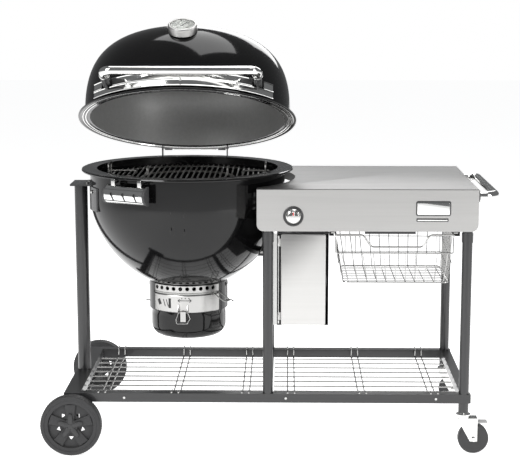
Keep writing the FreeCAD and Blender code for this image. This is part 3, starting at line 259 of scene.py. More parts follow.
def along(start, end):
    """The frame that stands at the middle of a run, with Z along it."""
    start, end = Vector(start), Vector(end)
    turn = (end - start).to_track_quat("Z", "Y").to_matrix().to_4x4()
    return Matrix.Translation((start + end) / 2) @ turn


def bar(start, end, radius, sides=16, edge=0.6):
    """A round bar with softened ends."""
    depth = (Vector(end) - Vector(start)).length
    deselect()
    bpy.ops.mesh.primitive_cylinder_add(vertices=sides, radius=radius, depth=depth)
    piece = bpy.context.object
    pick(piece, "edges", lambda a, b: abs(a.z - b.z) < depth / 2)
    rounded(min(edge, radius / 3), 2)
    leave()
    return placed(piece, along(start, end))


def slab(outline, push):
    """A flat outline pushed out into a solid."""
    piece = chain(outline, closed=True)
    edit()
    bpy.ops.mesh.select_all(action="SELECT")
    bpy.ops.mesh.edge_face_add()
    bpy.ops.mesh.extrude_region_move(TRANSFORM_OT_translate={"value": Vector(push)})
    tidy_faces()
    leave()
    return piece


def wire(points, radius, bend=0.0, sides=8, closed=False, steps=4):
    """Round wire through the points, every corner turned over the same length of bend."""
    piece = chain(points, closed)
    if bend:
        ends = () if closed else (Vector(points[0]), Vector(points[-1]))
        mesh = piece.data
        mesh.edges.foreach_set("select", [False] * len(mesh.edges))
        for vertex in mesh.vertices:
            vertex.select = all((vertex.co - end).length > 0.01 for end in ends)
        bpy.context.tool_settings.mesh_select_mode = (True, False, False)
        edit()
        bpy.ops.mesh.bevel(offset=bend, offset_type="OFFSET", segments=steps, affect="VERTICES")
        leave()
    bpy.ops.object.convert(target="CURVE")
    curve = bpy.context.object.data
    curve.bevel_depth = radius
    curve.bevel_resolution = (sides - 4) // 2
    curve.use_fill_caps = True
    bpy.ops.object.convert(target="MESH")
    edit()
    tidy_faces()
    leave()
    return bpy.context.object


def dome(radius, rise, sides=24):
    """A low round head, like a rivet's, standing on Z = 0."""
    profile = [(0, rise), (radius * 0.55, rise * 0.86), (radius * 0.88, rise * 0.5),
               (radius, 0), (0, 0)]
    return turned(profile, steps=sides, closed=False)


def rounded_outline(low, high, radius, y, steps=5):
    """Corners of an upright rectangle with rounded corners, in a plane of constant Y."""
    points = []
    left, right = low[0] + radius, high[0] - radius
    bottom, top = low[1] + radius, high[1] - radius
    for cx, cz, start in ((right, top, 0), (left, top, 90), (left, bottom, 180), (right, bottom, 270)):
        for i in range(steps + 1):
            a = math.radians(start + 90 * i / steps)
            points.append((cx + radius * math.cos(a), y, cz + radius * math.sin(a)))
    return points


def finished(piece, name, body, finish, replaces=(), angle=35):
    """Carries a drawn piece into the frame, and gives it its name, body and finish."""
    placed(piece, Matrix.Scale(1 / MM, 4))
    bpy.ops.object.shade_smooth_by_angle(angle=math.radians(angle))
    piece.name = name
    piece.data.name = name
    piece.data.materials.clear()
    piece.data.materials.append(FINISHES[finish])
    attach(piece, body)
    if replaces:
        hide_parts(*replaces)
    return piece


# ------------------------------------------------------------ shader groups


class Group:
    """A node group built up socket by socket."""

    def __init__(self, name, inputs, outputs):
        self.tree = bpy.data.node_groups.new(name, "ShaderNodeTree")
        for title, default in inputs.items():
            socket = self.tree.interface.new_socket(title, in_out="INPUT",
                                                    socket_type="NodeSocketFloat")
            socket.default_value = default
        for title in outputs:
            self.tree.interface.new_socket(title, in_out="OUTPUT",
                                           socket_type="NodeSocketFloat")
        self.way_in = self.tree.nodes.new("NodeGroupInput")
        self.way_out = self.tree.nodes.new("NodeGroupOutput")

    def add(self, kind, links=(), **settings):
        return add_node(self.tree, kind, links, **settings)

    def give(self, title, socket):
        self.tree.links.new(socket, self.way_out.inputs[title])


def add_node(tree, kind, links=(), **settings):
    """A node with its settings; links are (input name or number, value or socket) pairs."""
    node = tree.nodes.new(kind)
    for name, value in settings.items():
        setattr(node, name, value)
    for key, value in links:
        if isinstance(value, bpy.types.NodeSocket):
            tree.links.new(value, node.inputs[key])
        else:
            node.inputs[key].default_value = value
    return node


def sums(group, operation, a, b, clamp=False):
    node = group.add("ShaderNodeMath", [(0, a), (1, b)], operation=operation, use_clamp=clamp)
    return node.outputs[0]


def stretched_noise(group, scale, detail=3.0, rough=0.6, squeeze=(1, 1, 1)):
    """Noise over the piece's own coordinates, squeezed along its axes."""
    where = group.add("ShaderNodeTexCoord").outputs["Object"]
    mapping = group.add("ShaderNodeMapping", [("Vector", where), ("Scale", squeeze)])
    noise = group.add("ShaderNodeTexNoise", [("Vector", mapping.outputs[0]), ("Scale", scale),
                                            ("Detail", detail), ("Roughness", rough)])
    return noise.outputs["Fac"]


def brushed_group(name, squeeze):
    """Fine parallel scratches of a brushed or drawn surface."""
    group = Group(name, {"Fineness": 90.0, "Depth": 0.4, "Cloud": 0.15},
                  ("Shade", "Roughness", "Height"))
    fine = stretched_noise(group, group.way_in.outputs["Fineness"], 4.0, 0.7, squeeze)
    broad = stretched_noise(group, 5.0, 2.0, 0.5)
    centred = sums(group, "SUBTRACT", fine, 0.5)
    drift = sums(group, "SUBTRACT", broad, 0.5)
    cloud = sums(group, "MULTIPLY", drift, group.way_in.outputs["Cloud"])
    streak = sums(group, "MULTIPLY", centred, group.way_in.outputs["Depth"])
    group.give("Shade", sums(group, "ADD", sums(group, "ADD", streak, 1.0), cloud))
    group.give("Roughness", sums(group, "ADD", streak, cloud))
    group.give("Height", fine)
    return group.tree


def peel_group():
    """Soft ripple of a sprayed or fired coat."""
    group = Group("coat_ripple", {"Size": 160.0, "Patch": 6.0}, ("Height", "Patches"))
    group.give("Height", stretched_noise(group, group.way_in.outputs["Size"], 1.5, 0.4))
    group.give("Patches", stretched_noise(group, group.way_in.outputs["Patch"], 3.0, 0.55))
    return group.tree


def dust_group():
    """Fine dust that settles where a surface looks up."""
    group = Group("settled_dust", {"Amount": 0.15, "Speckle": 240.0}, ("Dust",))
    normal = group.add("ShaderNodeTexCoord").outputs["Normal"]
    up = group.add("ShaderNodeSeparateXYZ", [(0, normal)]).outputs["Z"]
    facing = sums(group, "MULTIPLY", sums(group, "SUBTRACT", up, 0.35), 1.6, True)
    cloud = stretched_noise(group, 9.0, 4.0, 0.6)
    fine = stretched_noise(group, group.way_in.outputs["Speckle"], 2.0, 0.7)
    mask = sums(group, "MULTIPLY", sums(group, "MULTIPLY", facing, cloud), fine)
    group.give("Dust", sums(group, "MULTIPLY", mask, group.way_in.outputs["Amount"], True))
    return group.tree


def wear_group():
    """Thin rubbed line where a coat passes over an edge."""
    group = Group("edge_rub", {"Width": 0.0012, "Amount": 0.5}, ("Wear",))
    soft = group.add("ShaderNodeBevel", [("Radius", group.way_in.outputs["Width"])], samples=4)
    true = group.add("ShaderNodeNewGeometry").outputs["Normal"]
    close = group.add("ShaderNodeVectorMath", [(0, soft.outputs[0]), (1, true)],
                      operation="DOT_PRODUCT")
    edge = sums(group, "MULTIPLY", sums(group, "SUBTRACT", 1.0, close.outputs["Value"]), 4.0, True)
    patchy = stretched_noise(group, 60.0, 4.0, 0.65)
    broken = sums(group, "MULTIPLY", sums(group, "SUBTRACT", patchy, 0.42), 3.0, True)
    worn = sums(group, "MULTIPLY", edge, broken)
    group.give("Wear", sums(group, "MULTIPLY", worn, group.way_in.outputs["Amount"], True))
    return group.tree


GRAIN_X = brushed_group("brushed_along_x", (0.02, 1.0, 1.0))
GRAIN_Z = brushed_group("brushed_along_z", (1.0, 1.0, 0.02))
PEEL = peel_group()
DUST = dust_group()
WEAR = wear_group()

# ------------------------------------------------------------ finishes

RUBBED = (0.25, 0.25, 0.25)
DUST_ON_COAT = (0.36, 0.35, 0.33)
DUST_ON_PLASTIC = (0.4, 0.39, 0.37)


class Finish:
    """One material: a Principled shader with its constants, fed by the shared groups."""

    def __init__(self, name, **constants):
        self.made = bpy.data.materials.new(name)
        self.made.use_nodes = True
        self.tree = self.made.node_tree
        self.shader = self.tree.nodes["Principled BSDF"]
        for key, value in constants.items():
            self.shader.inputs[key.replace("_", " ")].default_value = value

    def add(self, kind, links=(), **settings):
        return add_node(self.tree, kind, links, **settings)

    def group(self, tree, **values):
        node = self.add("ShaderNodeGroup", node_tree=tree)
        for key, value in values.items():
            node.inputs[key].default_value = value
        return node

    def feed(self, title, socket):
        self.tree.links.new(socket, self.shader.inputs[title])

    def mixed(self, mask, first, second):
        """Colour that goes from first to second with the mask."""
        node = self.add("ShaderNodeMix", data_type="RGBA")
        node.inputs["A"].default_value = (*first, 1)
        node.inputs["B"].default_value = (*second, 1)
        self.tree.links.new(mask, node.inputs["Factor"])
        return node

    def span(self, socket, low, high, from_low=0.0, from_high=1.0):
        node = self.add("ShaderNodeMapRange", [("Value", socket), ("From Min", from_low),
                                              ("From Max", from_high), ("To Min", low), ("To Max", high)])
        return node.outputs[0]

    def bumped(self, height, strength, distance):
        node = self.add("ShaderNodeBump", [("Height", height), ("Strength", strength),
                                           ("Distance", distance)])
        self.feed("Normal", node.outputs[0])


def coated(name, colour, rough, coat, ripple, dust=0.1, wear=0.25, ior=1.5):
    """Painted or enamelled steel: even colour, soft ripple, a rubbed edge and a trace of dust."""
    finish = Finish(name, IOR=ior, Coat_Weight=coat, Coat_Roughness=0.04)
    peel = finish.group(PEEL, Size=ripple)
    dusty = finish.group(DUST, Amount=dust)
    rub = finish.group(WEAR, Amount=wear)
    tone = finish.mixed(peel.outputs["Patches"],
                        [c * 0.85 for c in colour], [c * 1.15 for c in colour])
    worn = finish.mixed(rub.outputs["Wear"], colour, RUBBED)
    finish.tree.links.new(tone.outputs["Result"], worn.inputs["A"])
    grey = finish.mixed(dusty.outputs["Dust"], colour, DUST_ON_COAT)
    finish.tree.links.new(worn.outputs["Result"], grey.inputs["A"])
    finish.feed("Base Color", grey.outputs["Result"])
    finish.feed("Roughness", finish.span(peel.outputs["Patches"], rough * 0.8, rough * 1.25))
    finish.bumped(peel.outputs["Height"], 0.05, 0.0004)
    return finish.made


def brushed(name, colour, rough, grain, fineness=90.0, depth=0.4, cloud=0.12, strength=0.05):
    """Bare steel with parallel grain."""
    finish = Finish(name, Metallic=1.0)
    lines = finish.group(grain, Fineness=fineness, Depth=depth, Cloud=cloud)
    tint = finish.mixed(finish.span(lines.outputs["Shade"], 0, 1, 0.6, 1.4),
                        [c * 0.82 for c in colour], [min(c * 1.12, 1) for c in colour])
    finish.feed("Base Color", tint.outputs["Result"])
    finish.feed("Roughness", finish.span(lines.outputs["Roughness"],
                                         rough * 0.7, rough * 1.3, -0.35, 0.35))
    finish.bumped(lines.outputs["Height"], strength, 0.0003)
    return finish.made


def plated(name, colour, rough):
    """Bright plating with faint smears."""
    finish = Finish(name, Metallic=1.0)
    peel = finish.group(PEEL, Size=220.0, Patch=22.0)
    tint = finish.mixed(peel.outputs["Patches"], [c * 0.9 for c in colour], colour)
    finish.feed("Base Color", tint.outputs["Result"])
    finish.feed("Roughness", finish.span(peel.outputs["Patches"], rough * 0.6, rough * 1.5))
    return finish.made


def moulded(name, colour, rough, pebble=420.0, dust=0.12, strength=0.12):
    """Moulded plastic with a fine spark-eroded grain."""
    finish = Finish(name, IOR=1.46)
    peel = finish.group(PEEL, Size=pebble, Patch=10.0)
    dusty = finish.group(DUST, Amount=dust)
    tone = finish.mixed(peel.outputs["Patches"],
                        [c * 0.88 for c in colour], [c * 1.12 for c in colour])
    grey = finish.mixed(dusty.outputs["Dust"], colour, DUST_ON_PLASTIC)
    finish.tree.links.new(tone.outputs["Result"], grey.inputs["A"])
    finish.feed("Base Color", grey.outputs["Result"])
    finish.feed("Roughness", finish.span(peel.outputs["Patches"], rough * 0.85, rough * 1.15))
    finish.bumped(peel.outputs["Height"], strength, 0.0003)
    return finish.made


def satin_liner():
    """Satin grey enamel inside the lid, finely speckled."""
    finish = Finish("liner_grey", IOR=1.5, Metallic=0.35)
    peel = finish.group(PEEL, Size=520.0, Patch=90.0)
    tone = finish.mixed(peel.outputs["Patches"], (0.36, 0.36, 0.355), (0.48, 0.48, 0.475))
    finish.feed("Base Color", tone.outputs["Result"])
    finish.feed("Roughness", finish.span(peel.outputs["Patches"], 0.36, 0.46))
    finish.bumped(peel.outputs["Height"], 0.1, 0.0003)
    return finish.made


def clear_glass():
    finish = Finish("clear_glass", IOR=1.45, Roughness=0.02, Transmission_Weight=1.0)
    peel = finish.group(PEEL, Size=30.0)
    tone = finish.mixed(peel.outputs["Patches"], (0.96, 0.98, 0.98), (0.99, 1.0, 1.0))
    finish.feed("Base Color", tone.outputs["Result"])
    return finish.made


FINISHES = {
    "frame_black": coated("frame_black", (0.02, 0.02, 0.021), 0.3, 0.3, 190.0, dust=0.1, wear=0.3),
    "enamel_black": coated("enamel_black", (0.004, 0.004, 0.0042), 0.1, 0.12, 60.0,
                           dust=0.04, wear=0.1, ior=1.36),
    "liner_grey": satin_liner(),
    "brushed_steel": brushed("brushed_steel", (0.54, 0.535, 0.525), 0.34, GRAIN_X),
    "polished_steel": plated("polished_steel", (0.82, 0.82, 0.81), 0.09),
    "wire_plated": plated("wire_plated", (0.46, 0.457, 0.45), 0.18),
    "grate_steel": brushed("grate_steel", (0.33, 0.325, 0.315), 0.36, GRAIN_Z, 160.0, 0.5, 0.4),
    "black_plastic": moulded("black_plastic", (0.036, 0.036, 0.037), 0.48),
    "dial_white": moulded("dial_white", (0.86, 0.85, 0.81), 0.4, 300.0, 0.0, 0.03),
    "clear_glass": clear_glass(),
    "caster_grey": moulded("caster_grey", (0.4, 0.4, 0.395), 0.42),
    "zinc": brushed("zinc", (0.58, 0.58, 0.57), 0.3, GRAIN_Z, 140.0, 0.3, 0.5),
    "aluminised": brushed("aluminised", (0.45, 0.45, 0.44), 0.45, GRAIN_X, 60.0, 0.3, 0.6),
    "print_black": moulded("print_black", (0.02, 0.02, 0.02), 0.5, 300.0, 0.0, 0.03),
    "print_red": moulded("print_red", (0.62, 0.03, 0.02), 0.4, 300.0, 0.0, 0.03),
    "table_steel": brushed("table_steel", (0.13, 0.129, 0.127), 0.4, GRAIN_X, 110.0, 0.5, 0.1),
    "tyre_black": moulded("tyre_black", (0.03, 0.03, 0.031), 0.6, 260.0, 0.16, 0.2),
}


def dress(node, finish):
    """Gives a CAD node that stays in view its finish."""
    materials = frame["nodes"][node].data.materials
    materials.clear()
    materials.append(FINISHES[finish])


# ------------------------------------------------------------ kettle


def oval(radius, depth, powers, low, high, count=26):
    """(radius, height) points of a super-ellipse's quarter between two angles, base at height 0."""
    points = []
    for i in range(count + 1):
        a = math.radians(low + (high - low) * i / count)
        points.append((radius * math.cos(a) ** (2 / powers[0]),
                       depth * math.sin(a) ** (2 / powers[1])))
    return points


def bowl_wall(inset, stop):
    """Points down the kettle's side, from the rim to the neck's radius."""
    powers = (BOWL_POWER, BOWL_POWER)
    side = [(BOWL_R - inset, BOWL_TOP), (BOWL_R - inset, BOWL_TOP - 40)]
    under = oval(BOWL_R - inset, BOWL_DEPTH - inset, powers, 0, 89, 44)
    return side + [(r, HIPS_Z - z) for r, z in under if r > stop]


def kettle():
    """Outer skin, inner skin, rolled rim and the four thin marks on the kettle's front."""
    outer = bowl_wall(0, NECK_R)
    inner = [(r - SKIN, z + SKIN * 0.6) for r, z in reversed(outer)]
    shell = placed(turned(outer + inner, 128), KETTLE)
    finished(shell, "kettle_bowl", "cart", "enamel_black", ["bowl_shell"])
    outer = bowl_wall(LINING_INSET, NECK_R - 12)
    inner = [(r - SKIN, z) for r, z in reversed(outer)]
    lining = placed(turned(outer + inner, 96), KETTLE)
    finished(lining, "kettle_lining", "cart", "enamel_black", ["bowl_liner"])
    high = RIM_Z
    flat = [(BOWL_R - 24, high - 2.5), (RIM_R - 9, high - 2.5), (RIM_R - 9, high - 9),
            (RIM_R - 6, high - 10), (RIM_R - 1.5, high - 8), (RIM_R, high - 4.5),
            (RIM_R - 1.5, high - 1.3), (RIM_R - 5, high), (RIM_R - 12, high - 0.6),
            (BOWL_R - 18, high - 0.4), (BOWL_R - 20, high), (BOWL_R - 24, high)]
    finished(placed(turned(flat, 128), KETTLE), "kettle_rim", "cart", "enamel_black", ["bowl_rim"])
    half_wide, half_tall = 1.2, 7
    ticks = []
    for x, z in ((-35, 812), (10, 806), (-35, 754), (10, 748)):
        y = -math.sqrt(BOWL_R ** 2 - x ** 2)
        ticks.append(block((x - half_wide, y - 0.5, z - half_tall),
                           (x + half_wide, y + 2, z + half_tall), 0.4, 1))
    finished(placed(joined(ticks), KETTLE), "bowl_slots", "cart", "print_black")


def neck_trim():
    """Two bright bands round the neck's front, with the damper's printed marks on them."""
    hole_count, first_hole, hole_pitch, hole_r = 10, -137, 9.75, 7
    level = Vector((0, 0, 521.5))
    holes = []
    for i in range(hole_count):
        a = math.radians(first_hole + hole_pitch * i)
        way = Vector((math.cos(a), math.sin(a), 0))
        holes.append(bar(way * (NECK_R - 20) + level, way * (NECK_R + 20) + level, hole_r, 24))
    low, high = 507, 532
    upper = turned([(NECK_R, low), (NECK_R + 1.2, low), (NECK_R + 2, low + 1), (NECK_R + 2, high - 1),
                    (NECK_R + 1.2, high), (NECK_R, high)], 60, 103, start=-141.5)
    upper = cut_by(upper, holes)
    finished(placed(upper, KETTLE), "vent_band", "cart", "brushed_steel", ["neck_bands"], 25)
    low, high = 439, 498
    lower = turned([(NECK_R, low), (NECK_R + 1.2, low), (NECK_R + 2.2, low + 2),
                    (NECK_R + 2.2, high - 2), (NECK_R + 1.2, high), (NECK_R, high)],
                   60, 104, start=-142)
    finished(placed(lower, KETTLE), "ash_band", "cart", "brushed_steel", angle=25)
    marks = []

    def mark(angle, z, wide, tall, lean=0.0):
        """A thin printed mark at an angle round the neck, leaning by so many degrees."""
        piece = block((-0.5, -wide / 2, -tall / 2), (0.9, wide / 2, tall / 2), 0.25, 1)
        place = Matrix.Rotation(math.radians(angle), 4, "Z") @ Matrix.Translation((NECK_R + 2, 0, z))
        marks.append(placed(piece, place @ Matrix.Rotation(math.radians(lean), 4, "X")))

    for i in range(3):
        mark(-96 + i * 5, 489, 3.5, 3.5)
    arrow = -92
    mark(arrow, 481, 42, 2)
    for side in (-1, 1):
        mark(arrow + side * 8, 484, 9, 2, -side * 38)
        mark(arrow + side * 8, 478, 9, 2, side * 38)
    for i in range(2):
        mark(-123 + i * 5, 470, 2.5, 26, 18)
    mark(-132, 471, 12, 20, 24)
    mark(-114, 470, 9, 34)
    finished(placed(joined(marks), KETTLE), "damper_marks", "cart", "print_black")
    hooks = []
    for side in (-1, 1):
        x = side * 16 - 2
        ear = slab([(x, -150, 446), (x, -138, 470), (x, -138, 439)], (4, 0, 0))
        hooks.append(moved(softened(ear, 0.6), -10, 0, 0))
        hooks.append(wire([(side * 136, 0, 455), (side * 152, 0, 455), (side * 158, 0, 449)], 2.2, 3))
    finished(placed(joined(hooks), KETTLE), "latch_lugs", "cart", "wire_plated")


def ash_pot():
    """Pressed pot with a round corner and a rolled lip."""
    pot_low, pot_high = span("ash_pot")
    r = (pot_high.x - pot_low.x) / 2
    low = pot_low.z
    corner = 34
    side = [(0, low + 2), (r * 0.45, low + 1), (r * 0.62, low), (r * 0.72, low + 2.5)]
    for i in range(1, 9):
        a = math.radians(-90 + i * 11.25)
        side.append((r - corner + corner * math.cos(a), low + 40 + 38 * math.sin(a)))
    side += [(r, low + 78), (r - 0.5, low + 94), (r + 0.3, low + 95.5), (r + 0.3, low + 97.5),
             (r - 1.5, low + 98)]
    back = [(max(x - SKIN, 0), z + 1.2) for x, z in reversed(side[:-2])]
    centre = middle("ash_pot")
    pot = moved(turned(side + back, 96, closed=False), centre.x, centre.y, 0)
    finished(pot, "ash_pot_body", "ash_pot", "enamel_black", ["ash_pot"])


def tool_hooks():
    """Half-round plate with key-shaped hooks, its two end caps, and the clips on the kettle's rim."""
    long, rise = 150.0, 31.0
    turns = [math.radians(90 + i * 15) for i in range(13)]
    arc = [(math.cos(a) * rise, math.sin(a) * rise) for a in turns]
    outline = [(-long / 2, y, z) for y, z in arc]
    inner = [(-long / 2, y * 0.94, z * 0.94) for y, z in reversed(arc)]
    plate = slab(outline + inner, (long, 0, 0))
    cutters = []
    for x in (-45, 0, 45):
        cutters.append(bar((x, -50, 3), (x, -10, 3), 6, 24))
        slot = block((x - 3, -50, -20), (x + 3, -10, 3), 0.5, 1)
        lean = Matrix.Rotation(math.radians(-16), 4, "Y")
        cutters.append(placed(slot, Matrix.Translation((x, 0, 3)) @ lean
                              @ Matrix.Translation((-x, 0, -3))))
    plate = cut_by(plate, cutters)
    back = block((-long / 2, -26, -20), (long / 2, -24.5, 20), 0.5, 1)
    caps = []
    for side in (-1, 1):
        ring = [(side * long / 2, y * 1.04, z * 1.04) for y, z in arc]
        caps.append(softened(slab(ring, (side * 9, 0, 0)), 2.2, 3))
    straps = []
    for x in (-52, 52):
        straps.append(wire([(x, -2, 20), (x, -2, 35), (x, 20, 39)], 3.2, 5))
        straps.append(block((x - 7, -11.5, 24), (x + 7, -9, 51), 1, 3))
    stand_off, level = 22, 872
    stand = (KETTLE @ Matrix.Rotation(math.radians(-29), 4, "Z")
             @ Matrix.Translation((0, -BOWL_R - stand_off, level)))
    finished(placed(plate, stand), "hook_plate", "cart", "polished_steel", ["hook_handle_plate"])
    finished(placed(back, stand), "hook_plate_back", "cart", "black_plastic")
    finished(placed(joined(caps), stand), "hook_plate_caps", "cart", "black_plastic",
             ["hook_handle_ends"])
    finished(placed(joined(straps), stand), "hook_plate_clips", "cart", "polished_steel")


# ------------------------------------------------------------ lid


def lid_wall(inset):
    """Points up the lid's side, from its rim plane to its crown."""
    start = math.degrees(math.asin((LID_SINK / (LID_HEIGHT - inset)) ** (LID_POWERS[1] / 2)))
    quarter = oval(LID_R - inset, LID_HEIGHT - inset, LID_POWERS, start, 90, 44)
    return [(r, z - LID_SINK) for r, z in quarter]


def lid_skin(inset):
    """A dome of thin sheet, standing in the open lid's place."""
    outer = lid_wall(inset)
    inner = [(max(r - LID_SKIN, 0), z - LID_SKIN) for r, z in reversed(outer)]
    return placed(turned(outer + inner, 128, closed=False), LID)


def lid():
    """Dome, grey lining, rolled edge with its two bright polished rings, which paint the edge's thin highlight
    lines, and the lining's screws.
    """
    finished(lid_skin(0), "lid_dome", "lid", "enamel_black", ["lid_shell"])
    finished(lid_skin(LID_GAP), "lid_lining", "lid", "liner_grey", ["lid_liner"])
    r = LID_RIM_R
    rim = [(r - 40, -1.5), (r - 31, -1.5), (r - 30, -4), (r - 26, -4.2), (r - 22, -3.5),
           (r - 20, -1), (r - 15, -1), (r - 12, -3), (r - 8, -5.5), (r - 4, -6), (r - 1, -4.5),
           (r, -2), (r - 1, 0.6), (r - 4, 2), (r - 12, 1.5), (r - 20, 1.5), (r - 38, 1), (r - 40, 0)]
    finished(placed(turned(rim, 128), LID), "lid_edge", "lid", "enamel_black", ["lid_rim"])
    # Two bright polished rings: painted highlights for the thin light lines along the rim's edge.
    for name, out in (("lid_edge_bead_inner", 26), ("lid_edge_bead_outer", 16)):
        highlight_ring = [(r - out - 2.2, -0.5), (r - out - 1.2, -4.4),
                (r - out + 1.2, -4.4), (r - out + 2.2, -0.5)]
        finished(placed(turned(highlight_ring, 128), LID), name, "lid", "polished_steel")
    screws = []
    screw_r = LID_R - 21
    for x, y, z in ((-150, -300, 90), (110, -318, 90)):
        way = Vector((x, y, 0)).normalized()
        head = placed(dome(5, 3, 16), Matrix.Rotation(math.pi / 2, 4, "Y"))
        head = placed(head, Matrix.Rotation(math.atan2(-way.y, -way.x), 4, "Z"))
        screws.append(moved(head, way.x * screw_r, way.y * screw_r, z))
    finished(placed(joined(screws), LID), "lid_lining_screws", "lid", "polished_steel")


def lid_bar():
    """Bent tube handle with its ferrules, brackets and heat shield."""
    x, y, z = 248.5, -396.0, 50.0
    tube_r, bend = 14.5, 27
    tube = wire([(-x, y + 44, z), (-x, y, z), (x, y, z), (x, y + 44, z)], tube_r, bend, 24, steps=10)
    finished(placed(tube, LID), "lid_handle_tube", "lid", "polished_steel", ["lid_handle"])
    ferrules, brackets = [], []
    for side in (-1, 1):
        ring = turned([(13, 0), (16.5, 0), (17.5, 1.5), (17.5, 8), (16.5, 9.5), (13, 9.5)], 32)
        spot = Matrix.Translation((side * x, y + 52, z))
        ferrules.append(placed(ring, spot @ Matrix.Rotation(math.pi / 2, 4, "X")))
        brackets.append(block((side * x - 13, y + 44, z - 15), (side * x + 13, -245, z + 13), 4, 3))
        left = side * x - 4
        web = slab([(left, y + 46, z - 14), (left, -250, z - 14), (left, -250, z - 34)], (8, 0, 0))
        brackets.append(softened(web, 1))
    finished(placed(joined(ferrules), LID), "lid_handle_ferrules", "lid", "polished_steel")
    finished(placed(joined(brackets), LID), "lid_handle_feet", "lid", "black_plastic")
    r = LID_R + 12
    far = 296                  # half the shield's width; it is notched round both brackets
    strips = []
    for low, high, left, right in ((8, 31, -far, far), (30.9, 58, -far, -267),
                                   (30.9, 58, -230, 230), (30.9, 58, 267, far)):
        start, end = (math.degrees(math.asin(reach / r)) for reach in (left, right))
        lip = [(r, low), (r + 2.5, low + 0.3), (r + 3.3, low + 2), (r + 1.5, low + 4),
               (r + 1.5, high - 4), (r + 3.3, high - 2), (r + 2.5, high - 0.3), (r, high)]
        steps = max(6, int((end - start) / 1.5))
        strips.append(turned(lip, steps, end - start, start=start - 90))
    finished(placed(joined(strips), LID), "heat_shield", "lid", "polished_steel",
             ["lid_heat_shield"], 30)
    heads = []
    for px in (-180, 0, 180):
        head = placed(dome(6, 3.5, 20), Matrix.Rotation(math.pi / 2, 4, "X"))
        heads.append(moved(head, px, -math.sqrt((r + 1.5) ** 2 - px ** 2), 30))
    finished(placed(joined(heads), LID), "heat_shield_screw_heads", "lid", "zinc")


def ticked_dial():
    """Thermometer's ticks and plain numbers."""
    radius = LID_R * (1 - ((DIAL_Z + LID_SINK) / LID_HEIGHT) ** LID_POWERS[1]) ** (1 / LID_POWERS[0])
    stand = LID @ Matrix.Translation((0, -radius, DIAL_Z)) @ Matrix.Rotation(math.radians(45), 4, "X")
    first, tick_r, number_r = 225, 37, 24
    face = Vector((0, 0, 18.1))
    marks = []
    for i in range(25):
        a = math.radians(first - i * 11.25)
        long = 7 if i % 4 == 0 else 4
        way = Vector((math.cos(a), math.sin(a), 0))
        marks.append(block((-long / 2, -0.5, 0), (long / 2, 0.5, 0.4), 0.1, 1))
        spot = Matrix.Translation(way * (tick_r - long / 2) + face)
        placed(marks[-1], spot @ Matrix.Rotation(a, 4, "Z"))
    for i in range(7):
        a = math.radians(first - i * 45)
        deselect()
        bpy.ops.object.text_add()
        text = bpy.context.object
        text.data.body = str(50 + 50 * i)
        text.data.size = 7.5
        text.data.align_x = "CENTER"
        text.data.align_y = "CENTER"
        text.data.extrude = 0.2
        bpy.ops.object.convert(target="MESH")
        marks.append(moved(bpy.context.object, math.cos(a) * number_r, math.sin(a) * number_r, 18.2))
    finished(placed(joined(marks), stand), "dial_marks", "lid", "print_black")


# ------------------------------------------------------------ table


def front_board():
    """Folded front board with its two blank badges."""
    low, high = span("front_panel")
    face = low.y
    rim = rounded_outline((low.x, low.z), (high.x, high.z + 22), 22, face)
    inner = rounded_outline((low.x + 1.5, low.z + 1.5), (high.x - 1.5, high.z + 20), 20.5, face)
    fold = slab(rim, (0, 46, 0))
    hollow = slab([Vector(p) + Vector((0, 1.4, 0)) for p in inner], (0, 60, 0))
    above = block((low.x - 5, face - 9, high.z), (high.x + 5, face + 60, high.z + 60), 0.5, 1)
    fold = cut_by(fold, [hollow, above])
    finished(fold, "front_board", "cart", "brushed_steel", ["front_panel"], 30)
    badges, plates = [], []
    for left, bottom, right, top, r, inset in ((482, 806, 596, 855, 7, 4), (484, 787, 588, 798, 3, 3)):
        lo, hi = at(left, 0, bottom), at(right, 0, top)
        edge = rounded_outline((lo.x, lo.z), (hi.x, hi.z), r, face)
        badges.append(softened(slab(edge, (0, -1.4, 0)), 0.4))
        edge = rounded_outline((lo.x + inset, lo.z + inset), (hi.x - inset, hi.z - inset), r * 0.6,
                               face - 1.2)
        plates.append(softened(slab(edge, (0, -0.8, 0)), 0.3))
    finished(joined(badges), "badge_backs", "cart", "black_plastic")
    finished(joined(plates), "badge_plates", "cart", "polished_steel")


def knob():
    """Dished grip with a raised ridge and a red pointer, in a black ring on the front board."""
    centre = middle("gas_knob")
    face = span("front_panel")[0].y
    turn = Matrix.Translation((centre.x, face, centre.z)) @ Matrix.Rotation(math.pi / 2, 4, "X")
    bezel = turned([(25.5, 0), (33, 0), (33.5, 1), (32, 4), (28.5, 5.5), (26, 4.2), (25.5, 2)], 64)
    finished(placed(bezel, turn), "knob_ring", "cart", "black_plastic", ["knob_bezel"])
    grip = turned([(0, 26), (15, 26), (18, 24.8), (19.5, 22), (20.5, 9), (23, 7.5), (24, 5.5),
                   (23, 4.2), (8, 4.2), (0, 4.2)], 64, closed=False)
    ridge = block((-4, -19, 20), (4, 19, 29), 2.2, 3)
    finished(placed(joined([grip, ridge]), turn), "knob_grip", "gas_knob", "polished_steel", ["gas_knob"])
    red = block((-1.6, 6, 28.4), (1.6, 17, 29.4), 0.4, 1)
    finished(placed(red, turn), "knob_pointer", "gas_knob", "print_red")


